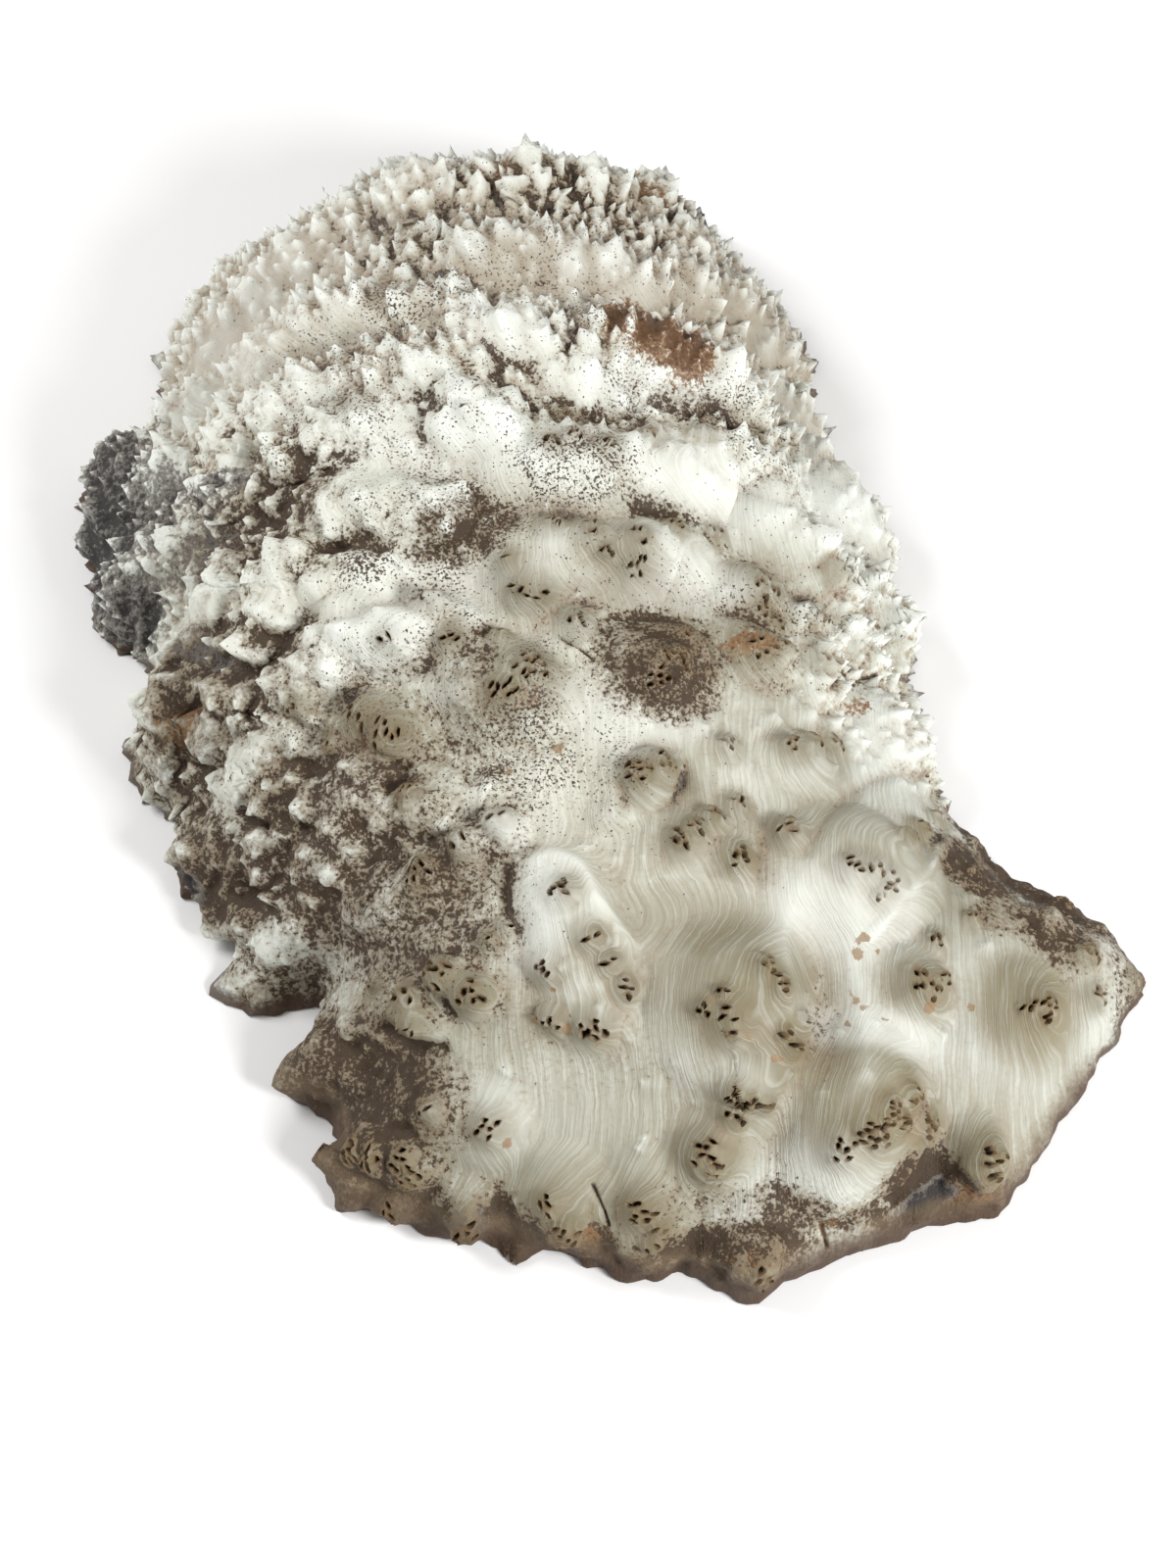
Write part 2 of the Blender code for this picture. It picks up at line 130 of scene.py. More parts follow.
# Colours, as shares of red, green and blue light.
CREAM = (0.46, 0.462, 0.385)
IVORY = (0.55, 0.567, 0.515)
PURE_PALE = (0.86, 0.885, 0.835)
WARM_PALE = (0.74, 0.74, 0.645)
ASH = (0.40, 0.395, 0.33)
LINE_TAN = (0.23, 0.19, 0.12)
HONEY = (0.20, 0.176, 0.105)
OLIVE = (0.155, 0.125, 0.062)
# The two gap colours paint the gaps between spikes: partly their brown wood, partly painted shade.
GAP_BROWN = (0.26, 0.172, 0.10)
GAP_SHADE_DARK = (0.085, 0.056, 0.040)
FAR_TINT = (0.36, 0.30, 0.225)
RIM_TAN = (0.17, 0.12, 0.07)
# The two grime colours paint real grime, and through their masks also painted shade in hollows and cracks.
GRIME_AND_SHADE_WASH = (0.185, 0.132, 0.075)
GRIME_AND_SHADE_DARK = (0.050, 0.030, 0.016)
RUST_BROWN = (0.23, 0.12, 0.05)
RUST_DEEP = (0.10, 0.045, 0.018)
CHAR_GREY = (0.18, 0.162, 0.145)
CHARCOAL = (0.035, 0.032, 0.031)
SPECK_BROWN = (0.056, 0.035, 0.020)
FLAKE_BROWN = (0.26, 0.16, 0.075)
BARK_BROWN = (0.075, 0.045, 0.028)
PINHOLE_BROWN = (0.17, 0.105, 0.048)
# The near-black pinhole colour is painted shade inside the holes.
PINHOLE_SHADE_BLACK = (0.020, 0.013, 0.008)
SAWN_PALE = (0.62, 0.50, 0.33)
SAWN_TAN = (0.50, 0.36, 0.21)
SAWN_BROWN = (0.30, 0.18, 0.09)
SAWN_DARK = (0.10, 0.05, 0.025)
FLOOR_GREY = (0.93, 0.93, 0.93)
SKY = (1.0, 0.985, 0.96)
FLOOR_SIDE = 6.0
FLOOR_DROP = -0.0006

# Lights, in metres and watts, all aimed at the middle of the cap.
SKY_STRENGTH = 0.35
LIGHTS = {
    "key": {"place": (1.0, -0.85, 0.85), "size": 0.5, "power": 23.0},
    "fill": {"place": (-1.3, 0.5, 1.3), "size": 1.0, "power": 25.0},
}

# The rim in plan, from the tongue's tip round by the far shoulder and the dark left lobe.
RIM = [
    (211, -92), (207, -76), (194, -60), (179, -49), (164, -37), (147, -22), (138, -2), (137, 22),
    (130, 45), (134, 66), (128, 92), (121, 120), (112, 144), (103, 165), (97, 190), (98, 215),
    (93, 240), (82, 262), (66, 280), (56, 302), (36, 320), (6, 328), (-30, 335), (-60, 329),
    (-84, 332), (-112, 319), (-138, 298), (-166, 277), (-184, 250), (-190, 222), (-188, 196),
    (-194, 176), (-211, 168), (-217, 150), (-214, 126), (-207, 98), (-200, 76), (-184, 62),
    (-180, 46), (-184, 22), (-180, 0), (-166, -12), (-159, -28), (-156, -46), (-140, -64),
    (-128, -82), (-128, -96), (-105, -102), (-101, -111), (-110, -129), (-111, -139), (-97, -149),
    (-93, -164), (-90, -178), (-68, -190), (-40, -199), (-12, -204), (16, -213), (34, -213),
    (56, -221), (80, -212), (104, -202), (128, -193), (149, -189), (161, -176), (173, -158),
    (187, -136), (202, -116),
]

# Lumps and hollows: across and down in the view, radius across, radius up, height, turn in degrees if any.
LUMPS = [
    (409, 166, 20, 24, 21), (350, 205, 20, 22, 9), (470, 180, 20, 22, 9), (538, 152, 19, 22, 20),
    (608, 166, 22, 22, 13), (680, 190, 20, 22, 9), (715, 235, 17, 20, 8), (440, 240, 20, 18, 5),
    (505, 245, 24, 22, 10), (578, 240, 30, 20, 13, -8), (655, 270, 22, 20, 10), (712, 275, 20, 20, 9),
    (765, 295, 18, 20, 9), (300, 245, 22, 20, 9), (250, 290, 22, 22, 9), (200, 345, 24, 24, 10),
    (180, 405, 20, 22, 9), (262, 345, 22, 22, 9), (318, 312, 24, 20, 12), (385, 300, 26, 20, 10),
    (450, 300, 22, 20, 9), (515, 320, 30, 22, 13), (680, 340, 44, 24, 17, -8), (765, 385, 34, 22, 14, -40),
    (800, 345, 20, 22, 9), (825, 410, 20, 20, 9), (600, 372, 26, 20, 8), (400, 365, 30, 22, 9),
    (455, 375, 22, 20, 9), (485, 412, 24, 20, 13), (590, 455, 40, 26, 15), (700, 465, 36, 24, 12, -5),
    (745, 452, 20, 18, 9), (800, 470, 24, 20, 11), (852, 465, 20, 20, 9), (880, 508, 24, 22, 11),
    (820, 528, 26, 20, 11, -10), (905, 550, 20, 22, 9), (290, 400, 26, 26, 10), (235, 440, 26, 18, 8),
    (345, 505, 30, 18, 10, 10), (410, 515, 30, 18, 8), (455, 518, 11, 14, 6), (300, 455, 24, 16, 8),
    (365, 430, 26, 22, 10), (225, 495, 24, 14, 9, -30), (150, 480, 24, 20, 8), (108, 470, 20, 22, 7),
    (92, 540, 20, 22, 7), (135, 570, 22, 20, 6), (180, 560, 22, 18, 7), (118, 620, 20, 20, 6),
    (230, 600, 24, 20, 9), (195, 635, 20, 18, 9), (285, 595, 22, 20, 9), (258, 645, 22, 18, 8),
    (300, 565, 18, 14, 7), (352, 590, 20, 18, 9), (350, 645, 26, 20, 11), (400, 648, 16, 18, 8),
    (540, 600, 20, 14, 5, -15), (590, 642, 15, 15, 5), (448, 628, 20, 18, 8), (515, 692, 34, 26, 12),
    (632, 570, 34, 20, 6), (565, 555, 26, 22, 9), (640, 545, 24, 18, 7), (695, 555, 24, 20, 9),
    (785, 600, 24, 18, 10), (785, 655, 24, 18, 9), (850, 578, 24, 22, 11), (838, 645, 20, 18, 8),
    (905, 600, 22, 20, 9), (885, 650, 20, 18, 7), (930, 645, 18, 18, 8), (680, 668, 28, 24, 12),
    (842, 690, 16, 14, 6, 30), (655, 788, 18, 18, 7, 20), (825, 768, 20, 17, 7, 10), (620, 828, 8, 9, 4),
    (715, 852, 28, 15, 5, 22), (755, 878, 12, 12, 3), (805, 848, 11, 12, 4), (895, 865, 44, 32, 17, 30),
    (930, 740, 28, 20, 10, -20), (948, 1004, 17, 20, 8), (592, 960, 22, 46, 9, 8), (572, 915, 20, 24, 6),
    (765, 1022, 36, 40, 15), (765, 1126, 19, 17, 7), (722, 1180, 17, 19, 9), (892, 1142, 30, 42, 20, -18),
    (1010, 1186, 15, 20, 9), (1065, 1028, 20, 24, 9), (1112, 978, 14, 14, 5), (1119, 1020, 12, 12, 4),
    (1082, 928, 12, 12, 6), (497, 1155, 18, 20, 6), (445, 1138, 12, 14, 4), (365, 1182, 18, 14, 5),
    (412, 1190, 14, 14, 5), (346, 1218, 12, 14, 5), (372, 1226, 10, 10, 3), (402, 1236, 10, 10, 3),
    (477, 1244, 15, 16, 6), (566, 1238, 23, 24, 10), (662, 1246, 20, 26, 10), (775, 1288, 16, 16, 6),
    (450, 1000, 12, 13, 6), (481, 1018, 11, 12, 5), (413, 1018, 9, 10, 5), (422, 1044, 16, 9, 5, -32),
    (347, 1040, 9, 7, 4), (235, 1010, 26, 14, 9, -5), (320, 1098, 20, 16, 7), (158, 748, 16, 18, 8),
    (213, 745, 22, 16, 8, 10), (245, 785, 18, 16, 8), (165, 805, 16, 16, 8), (190, 865, 20, 14, 8),
    (270, 760, 20, 14, 7, -20), (385, 745, 24, 18, 9, -15), (352, 812, 24, 20, 10), (428, 812, 16, 16, 7),
    (370, 925, 26, 16, 9, 15), (250, 950, 24, 14, 7), (330, 878, 20, 14, 8), (428, 900, 12, 14, 5),
    (472, 865, 10, 12, 5), (510, 842, 13, 10, 5, 10), (255, 870, 22, 14, 7), (290, 810, 18, 14, 6),
    (300, 700, 24, 16, 8), (232, 700, 20, 12, 8), (180, 700, 20, 10, 7, 10), (470, 600, 30, 22, -6),
    (440, 770, 40, 26, -6), (1040, 915, 40, 24, -8, -40), (700, 940, 34, 16, -5), (830, 1010, 16, 44, -7),
    (590, 1130, 44, 36, -3), (400, 1110, 30, 20, -3), (320, 1000, 20, 16, -5),
]

# Bud eyes: across and down in the view, knob radius, knob height, number of pinholes.
EYES = [
    (564, 537, 6, 2.5, 4), (604, 540, 7, 2.5, 4), (618, 561, 5, 2, 3), (652, 547, 6, 2.5, 3),
    (647, 578, 9, 3, 6), (689, 537, 5, 2, 3), (531, 604, 7, 3, 3), (553, 607, 6, 2.5, 2),
    (440, 617, 7, 3, 5), (460, 652, 6, 2.5, 3), (510, 652, 5, 2.5, 2), (540, 683, 11, 3.5, 12),
    (515, 703, 8, 3, 7), (588, 636, 7, 3, 4), (704, 655, 11, 2.5, 10), (688, 672, 9, 2, 8),
    (669, 690, 8, 2, 6), (779, 596, 12, 3, 9), (776, 623, 6, 2.5, 4), (789, 636, 6, 2.5, 3),
    (773, 658, 12, 2.5, 7), (799, 661, 5, 2, 3), (834, 633, 8, 3, 5), (842, 681, 7, 2.5, 2),
    (851, 585, 6, 3, 1), (651, 790, 8, 3, 7), (675, 778, 8, 3, 6), (741, 762, 6, 3, 4),
    (693, 859, 6, 3, 4), (709, 847, 6, 3, 4), (728, 836, 6, 3, 4), (750, 824, 6, 3, 4),
    (753, 875, 7, 3, 5), (803, 847, 7, 3, 4), (808, 762, 6, 2.5, 4), (830, 758, 6, 2.5, 3),
    (850, 762, 6, 2.5, 4), (870, 886, 6, 3, 4), (891, 887, 6, 3, 3), (908, 900, 7, 3, 5),
    (898, 914, 4, 2, 2), (926, 855, 6, 3, 3), (940, 847, 6, 3, 3), (957, 836, 5, 2.5, 2),
    (953, 960, 5, 2.5, 3), (943, 1005, 10, 3.5, 9), (961, 998, 5, 2.5, 3), (991, 938, 4, 2, 2),
    (1083, 927, 6, 3, 3), (1110, 976, 6, 3, 4), (1119, 1017, 6, 3, 4), (1064, 1028, 9, 3, 9),
    (1048, 1029, 4, 2, 2), (1160, 1005, 7, 3, 5), (572, 909, 6, 3, 5), (604, 957, 6, 3, 2),
    (621, 982, 5, 3, 2), (556, 992, 6, 3, 4), (638, 1009, 6, 3, 4), (564, 1042, 6, 3, 3),
    (606, 1048, 8, 3.5, 7), (718, 1029, 5, 2.5, 3), (739, 1013, 4, 2, 2), (782, 989, 6, 3, 4),
    (795, 1005, 6, 3, 4), (744, 1042, 9, 4, 4), (819, 1044, 6, 3, 4), (800, 1055, 4, 2, 2),
    (808, 1068, 5, 2.5, 3), (750, 1117, 6, 3, 4), (765, 1123, 5, 3, 3), (781, 1126, 4, 2, 2),
    (747, 1139, 6, 3, 3), (722, 1180, 10, 3.5, 9), (860, 1171, 8, 3.5, 6), (881, 1153, 7, 3, 6),
    (896, 1160, 7, 3, 5), (902, 1138, 7, 3, 6), (919, 1144, 6, 3, 5), (929, 1121, 7, 3, 6),
    (941, 1148, 8, 3, 7), (908, 1128, 5, 2.5, 3), (1010, 1186, 9, 4, 8), (497, 1151, 7, 3, 6),
    (443, 1134, 5, 2.5, 2), (343, 1182, 7, 3, 4), (363, 1176, 6, 3, 5), (379, 1180, 7, 3, 6),
    (411, 1183, 7, 3, 5), (416, 1198, 8, 3, 7), (401, 1235, 7, 3, 4), (477, 1250, 8, 3, 5),
    (525, 1275, 5, 2, 3), (560, 1230, 6, 3, 4), (577, 1257, 9, 3, 8), (655, 1236, 8, 3, 7),
    (673, 1253, 5, 2.5, 2), (666, 1268, 5, 2.5, 2), (778, 1298, 9, 3, 6), (371, 736, 8, 3, 4),
    (397, 749, 9, 3.5, 7), (422, 809, 5, 2.5, 2), (433, 889, 5, 2.5, 3), (424, 901, 4, 2, 2),
    (473, 860, 6, 3, 2), (511, 838, 6, 3, 2), (518, 947, 5, 2.5, 1), (497, 961, 5, 2.5, 1),
    (449, 996, 8, 4, 8), (481, 1015, 8, 4, 6), (413, 1018, 6, 3, 3), (382, 1013, 5, 2.5, 2),
    (401, 1038, 5, 2.5, 2), (418, 1047, 7, 3, 3), (484, 398, 5, 2.5, 3), (475, 420, 4, 2, 1),
    (366, 418, 5, 2.5, 1), (563, 452, 5, 2.5, 3), (585, 446, 5, 2.5, 3), (620, 452, 5, 2.5, 3),
    (663, 448, 5, 2.5, 3), (720, 443, 6, 3, 3), (770, 445, 5, 2.5, 3), (575, 425, 5, 2, 2),
    (730, 545, 5, 2, 2), (520, 575, 5, 2, 1), (395, 650, 5, 2.5, 2), (310, 720, 5, 2, 2),
    (345, 760, 5, 2, 2),
]

# Spurs that point out over the edge: across and down in the view, radius, height.
SPURS = [
    (136, 712, 8, 6), (130, 760, 7, 4), (154, 820, 7, 4), (182, 866, 7, 4), (205, 905, 7, 4),
    (240, 1008, 10, 7), (296, 1098, 11, 8), (343, 1180, 7, 4), (150, 745, 7, 4), (228, 948, 7, 4),
    (352, 1224, 7, 4), (85, 560, 7, 5), (84, 520, 7, 5), (82, 478, 7, 5), (97, 600, 7, 4), (104, 640, 7, 4),
]

# Folds and cracks: height (below 0 for a crease), width, then the points they follow in the view.
FOLDS = [
    (1.8, 5.0, [(545, 882), (560, 873), (585, 880), (599, 896), (606, 915), (622, 935), (637, 960),
                (636, 985)]),
    (-1.5, 4.5, [(822, 868), (835, 846), (850, 826), (868, 808), (892, 795), (922, 786), (952, 790)]),
    (2.0, 4.0, [(972, 852), (950, 880), (921, 914), (885, 958)]),
    (2.2, 4.0, [(934, 1094), (946, 1110), (951, 1130), (941, 1160), (926, 1196)]),
    (-1.6, 3.0, [(632, 800), (640, 822), (662, 830), (686, 818), (697, 798), (700, 775)]),
    (-1.6, 3.0, [(633, 780), (645, 763), (668, 756), (690, 762)]),
    (-1.8, 3.0, [(520, 885), (516, 905), (517, 930), (528, 950)]),
    (-1.6, 3.0, [(842, 690), (833, 703), (850, 700), (862, 684)]),
    (-2.5, 4.0, [(395, 1048), (412, 1060), (430, 1066), (452, 1068)]),
    (-2.0, 3.0, [(440, 1010), (452, 1020), (462, 1034)]),
    (-2.6, 5.0, [(735, 1300), (722, 1290), (700, 1286), (690, 1300)]),
]
CRACKS = [
    (-2.2, 0.9, [(605, 1208), (611, 1222), (617, 1238), (621, 1250)]),
    (-2.0, 0.9, [(838, 1250), (841, 1262), (843, 1272)]),
    (-1.6, 0.8, [(573, 652), (584, 658), (594, 664), (605, 674)]),
]

# Stains and colour fields: across and down in the view, radius across, radius up, strength, turn if any.
GRIME = [
    (330, 860, 60, 50, 0.8), (250, 690, 50, 30, 0.75), (440, 760, 30, 40, 0.45), (400, 930, 55, 38, 0.75),
    (465, 900, 32, 36, 0.6), (380, 1115, 46, 36, 1.0), (300, 1010, 30, 24, 0.7), (318, 1100, 30, 24, 1.0),
    (350, 1200, 42, 26, 0.9), (200, 690, 44, 26, 1.0), (180, 770, 34, 30, 0.8), (175, 860, 32, 30, 0.85),
    (235, 895, 44, 26, 1.0), (270, 545, 52, 28, 0.8), (375, 562, 58, 13, 0.6, 4), (470, 540, 22, 16, 0.8),
    (310, 500, 30, 24, 0.75), (680, 668, 30, 26, 0.95), (1045, 905, 54, 24, 1.1, -40),
    (1000, 885, 24, 22, 1.0), (1080, 945, 24, 20, 0.9, -30), (1025, 930, 22, 16, 0.6),
    (560, 1270, 66, 16, 1.1), (430, 1235, 56, 18, 0.7), (770, 1245, 56, 18, 0.5), (795, 1215, 34, 14, 0.25),
    (740, 1275, 34, 12, 1.1, 10), (440, 258, 30, 15, 0.5), (560, 1268, 50, 10, 1.2),
    (690, 200, 30, 28, 0.6), (560, 190, 46, 22, 0.5), (620, 230, 40, 20, 0.5), (410, 160, 20, 20, 0.35),
    (500, 165, 30, 20, 0.3), (640, 175, 26, 24, 0.35), (345, 700, 40, 26, 0.35), (430, 690, 24, 30, 0.3),
    (485, 690, 12, 30, 0.6), (330, 450, 24, 26, 0.5), (240, 430, 40, 18, 0.35), (525, 790, 26, 26, 0.35),
    (1150, 1010, 16, 30, 0.6), (1085, 925, 18, 12, 0.5), (845, 1240, 40, 9, 0.8, -20),
    (460, 1040, 40, 16, 0.25), (962, 1214, 32, 15, 1.2, -20), (560, 1090, 60, 14, 0.2),
    (760, 655, 26, 18, 0.5), (410, 425, 26, 20, 0.3), (660, 525, 50, 9, 0.4), (590, 425, 42, 9, 0.45),
    (720, 430, 36, 9, 0.5), (560, 365, 60, 9, 0.3, 12), (800, 490, 26, 10, 0.3), (880, 700, 30, 10, 0.3),
]
CHAR = [
    (105, 545, 46, 60, 1.0), (92, 470, 30, 30, 0.95), (150, 520, 36, 28, 0.7), (200, 560, 30, 26, 0.45),
    (125, 625, 30, 26, 0.9), (220, 496, 20, 8, 0.8), (727, 208, 8, 14, 1.3), (943, 1226, 15, 7, 1.3, 30),
    (210, 900, 10, 12, 1.2), (477, 1250, 9, 10, 0.7), (525, 1276, 10, 6, 0.7), (755, 1310, 16, 6, 0.7),
    (210, 660, 30, 10, 0.5, -20),
]
RUST = [
    (665, 332, 28, 18, 1.2, -10), (700, 352, 16, 20, 1.15), (642, 318, 10, 8, 0.7),
    (985, 1222, 14, 10, 0.7), (773, 1290, 16, 8, 0.5), (540, 1266, 20, 8, 0.55), (585, 1262, 16, 8, 0.5),
    (388, 744, 16, 12, 0.4), (845, 1250, 9, 6, 0.5), (878, 720, 10, 6, 0.7, 30), (690, 1290, 16, 8, 0.5),
    (198, 742, 14, 9, 0.5), (665, 190, 12, 26, 0.5), (510, 170, 10, 20, 0.4), (628, 262, 8, 18, 0.4),
    (768, 658, 16, 6, 0.8, 10), (525, 700, 14, 10, 0.4), (560, 620, 8, 8, 0.3), (860, 350, 10, 12, 0.4),
    (635, 275, 8, 14, 0.35), (415, 153, 10, 8, 0.4),
]
SPECKS = [
    (590, 478, 38, 20, 0.75), (560, 770, 46, 40, 0.8), (600, 800, 40, 30, 0.55), (530, 660, 60, 60, 0.5),
    (680, 670, 30, 26, 1.0), (440, 540, 46, 22, 0.9), (450, 330, 90, 50, 0.45), (620, 620, 60, 44, 0.5),
    (570, 730, 30, 44, 0.75), (430, 800, 36, 28, 0.6), (500, 400, 60, 30, 0.4), (700, 840, 50, 30, 0.16),
    (790, 640, 34, 30, 0.6), (850, 600, 44, 44, 0.3), (380, 560, 50, 30, 0.8), (350, 700, 60, 50, 0.5),
    (640, 390, 60, 24, 0.35), (470, 650, 30, 40, 0.7), (340, 460, 40, 30, 0.6), (330, 870, 70, 60, 0.5),
    (460, 920, 40, 40, 0.7), (550, 260, 90, 40, 0.3), (760, 440, 40, 30, 0.5), (500, 1000, 30, 30, 0.2),
]
TAN = [
    (890, 1110, 32, 38, 0.95), (765, 985, 40, 36, 0.9), (1060, 1025, 28, 28, 0.95), (600, 960, 26, 50, 0.3),
    (680, 785, 22, 22, 0.6), (722, 862, 36, 22, 0.5), (700, 935, 36, 18, 0.6), (642, 578, 38, 26, 0.4),
    (965, 905, 44, 34, 0.6), (895, 855, 44, 36, 0.6), (765, 1130, 22, 20, 0.5), (722, 1178, 20, 22, 0.65),
    (660, 1245, 24, 26, 0.7), (565, 1240, 28, 26, 0.7), (830, 765, 24, 20, 0.4), (1010, 1188, 20, 24, 0.8),
    (515, 690, 36, 26, 0.4), (540, 600, 24, 16, 0.4), (390, 745, 26, 20, 0.6), (430, 1190, 60, 30, 0.5),
    (450, 1050, 50, 22, 0.4), (470, 865, 20, 20, 0.4), (435, 800, 20, 20, 0.4), (700, 655, 30, 26, 0.4),
    (560, 550, 30, 20, 0.35), (785, 600, 26, 20, 0.35), (1040, 1090, 50, 60, 0.2), (970, 1180, 40, 40, 0.5),
    (620, 830, 9, 9, 0.6), (366, 415, 10, 9, 0.7), (205, 745, 20, 14, 0.4), (260, 790, 30, 16, 0.3),
    (850, 584, 10, 10, 0.7), (600, 1130, 70, 40, 0.15), (800, 1075, 20, 18, 0.9), (640, 1150, 40, 30, 0.3),
    (940, 1000, 22, 22, 0.5),
]
# Pale patches: partly pale wood and partly painted light where faces stand bright; the spikes are calmer
# there.
PALE = [
    (440, 600, 30, 16, 0.5), (490, 430, 22, 22, 0.8), (665, 393, 44, 13, 1.0), (600, 300, 30, 20, 0.7),
    (740, 500, 40, 18, 0.7), (650, 730, 26, 18, 0.6), (370, 650, 24, 18, 0.6), (400, 450, 34, 24, 0.6),
    (700, 600, 30, 14, 0.4), (850, 520, 30, 24, 0.9), (870, 930, 34, 20, 0.6), (545, 930, 12, 24, 0.8),
    (890, 1045, 30, 10, 0.8), (455, 520, 10, 12, 0.7), (350, 800, 16, 12, 0.6), (520, 330, 26, 16, 0.7),
    (240, 780, 20, 12, 0.4), (500, 850, 16, 10, 0.6), (255, 325, 40, 46, 0.8), (320, 250, 40, 26, 0.6),
    (540, 1130, 40, 20, 0.2), (850, 1200, 20, 16, 0.4), (900, 750, 26, 18, 0.5), (370, 925, 24, 12, 0.5),
    (270, 960, 22, 12, 0.4), (290, 400, 26, 16, 0.5),
]
# Thin brown flakes of bark left on the skin.
FLAKES = [
    (792, 1081, 3.0, 2.2, 1.0), (580, 1050, 3.0, 3.0, 1.0, 20), (638, 1040, 1.8, 2.6, 1.0),
    (546, 1044, 1.4, 3.6, 1.0, 30), (518, 1167, 3.2, 2.8, 1.0, 20), (871, 1019, 3.2, 2.6, 1.0),
    (874, 973, 2.6, 3.0, 1.0), (896, 974, 2.6, 2.4, 1.0), (946, 1028, 3.4, 3.0, 1.0, 20),
    (991, 1029, 2.4, 2.6, 1.0), (865, 1045, 2.6, 2.2, 1.0), (798, 799, 2.0, 1.8, 1.0),
    (613, 1064, 3.0, 1.4, 1.0), (566, 1010, 1.4, 1.6, 1.0), (763, 1056, 1.6, 2.6, 1.0),
    (905, 955, 2.0, 1.8, 1.0), (878, 957, 4.0, 2.0, 1.0), (935, 1043, 2.4, 1.6, 1.0),
    (838, 885, 1.8, 2.4, 1.0, 40), (532, 968, 1.2, 1.6, 1.0), (630, 1058, 1.2, 1.8, 1.0),
    (536, 1052, 1.0, 2.2, 1.0, 30), (885, 1030, 4.5, 2.0, 1.0), (905, 1040, 3.0, 2.0, 1.0),
    (618, 760, 1.6, 1.8, 1.0), (522, 788, 2.2, 1.8, 1.0), (570, 765, 3.0, 3.0, 1.0),
]
ZONES = {
    "char": CHAR, "grime": GRIME, "rust": RUST, "specks": SPECKS, "tan": TAN, "pale": PALE,
    "flakes": FLAKES,
}


def rim_at(turn):
    """Plan points of the rim at shares of a turn: a smooth closed curve through RIM."""
    points = np.array(RIM, float)
    place = np.mod(turn, 1.0) * len(points)
    low = np.floor(place).astype(int)
    part = (place - low)[..., None]
    a, b, c, d = (points[(low + step) % len(points)] for step in (-1, 0, 1, 2))
    square = 2 * a - 5 * b + 4 * c - d
    cube = 3 * b - a - 3 * c + d
    return 0.5 * (2 * b + (c - a) * part + square * part**2 + cube * part**3)


def plan_grid(count):
    """A square grid of plan points drawn out to the rim, and how far out each one is."""
    side = np.linspace(-1, 1, count)
    a, b = np.meshgrid(side, side, indexing="ij")
    wide = np.abs(a) >= np.abs(b)
    reach = np.maximum(np.abs(a), np.abs(b))
    long = np.where(wide, a, b)
    short = np.where(wide, b, a)
    tilt = math.pi / 4 * short / np.where(long == 0, 1, long)
    angle = np.where(wide, tilt, math.pi / 2 - tilt)
    angle = np.where(long < 0, angle + math.pi, angle)
    share = 1 - (1 - reach) ** PLAN_POWER
    plan = HEART + share[..., None] * (rim_at(angle / (2 * math.pi)) - HEART)
    return plan, reach


def rim_distance(plan):
    """How far each plan point is from the rim."""
    rim = rim_at(np.linspace(0, 1, RIM_STEPS, endpoint=False))
    gaps = [np.hypot(*(rim - point).T).min() for point in plan.reshape(-1, 2)]
    return np.array(gaps).reshape(plan.shape[:2])


def soften(field, times):
    for _ in range(times):
        wide = np.pad(field, 1, mode="reflect", reflect_type="odd")
        beside = wide[:-2, 1:-1] + wide[2:, 1:-1] + wide[1:-1, :-2] + wide[1:-1, 2:]
        field = (beside + 4 * field) / 8
    return field


def stretch(field, count):
    """A coarse grid's values on a finer grid of the same layout."""
    last = field.shape[0] - 1
    place = np.linspace(0, last, count)
    low = np.minimum(place.astype(int), last - 1)
    part = place - low
    rows = field[low] * (1 - part)[:, None] + field[low + 1] * part[:, None]
    return rows[:, low] * (1 - part) + rows[:, low + 1] * part


def ease(value, low, high):
    share = np.clip((value - low) / (high - low), 0, 1)
    return share * share * (3 - 2 * share)


def swell(x, y, top, reach):
    return np.exp(-(((x - top[0]) / reach[0]) ** 2) - ((y - top[1]) / reach[1]) ** 2)


def normals(points):
    out = np.cross(np.gradient(points, axis=0), np.gradient(points, axis=1))
    return out / (np.linalg.norm(out, axis=2, keepdims=True) + 1e-12)


def seen(points):
    """Where points lie in the slanting view, and how far from it."""
    depth = VIEW_DISTANCE + points @ VIEW_AHEAD
    across = VIEW_MIDDLE[0] + VIEW_SCALE * points[..., 0] / depth
    down = VIEW_MIDDLE[1] - VIEW_SCALE * (points @ VIEW_UP) / depth
    return across, down, depth


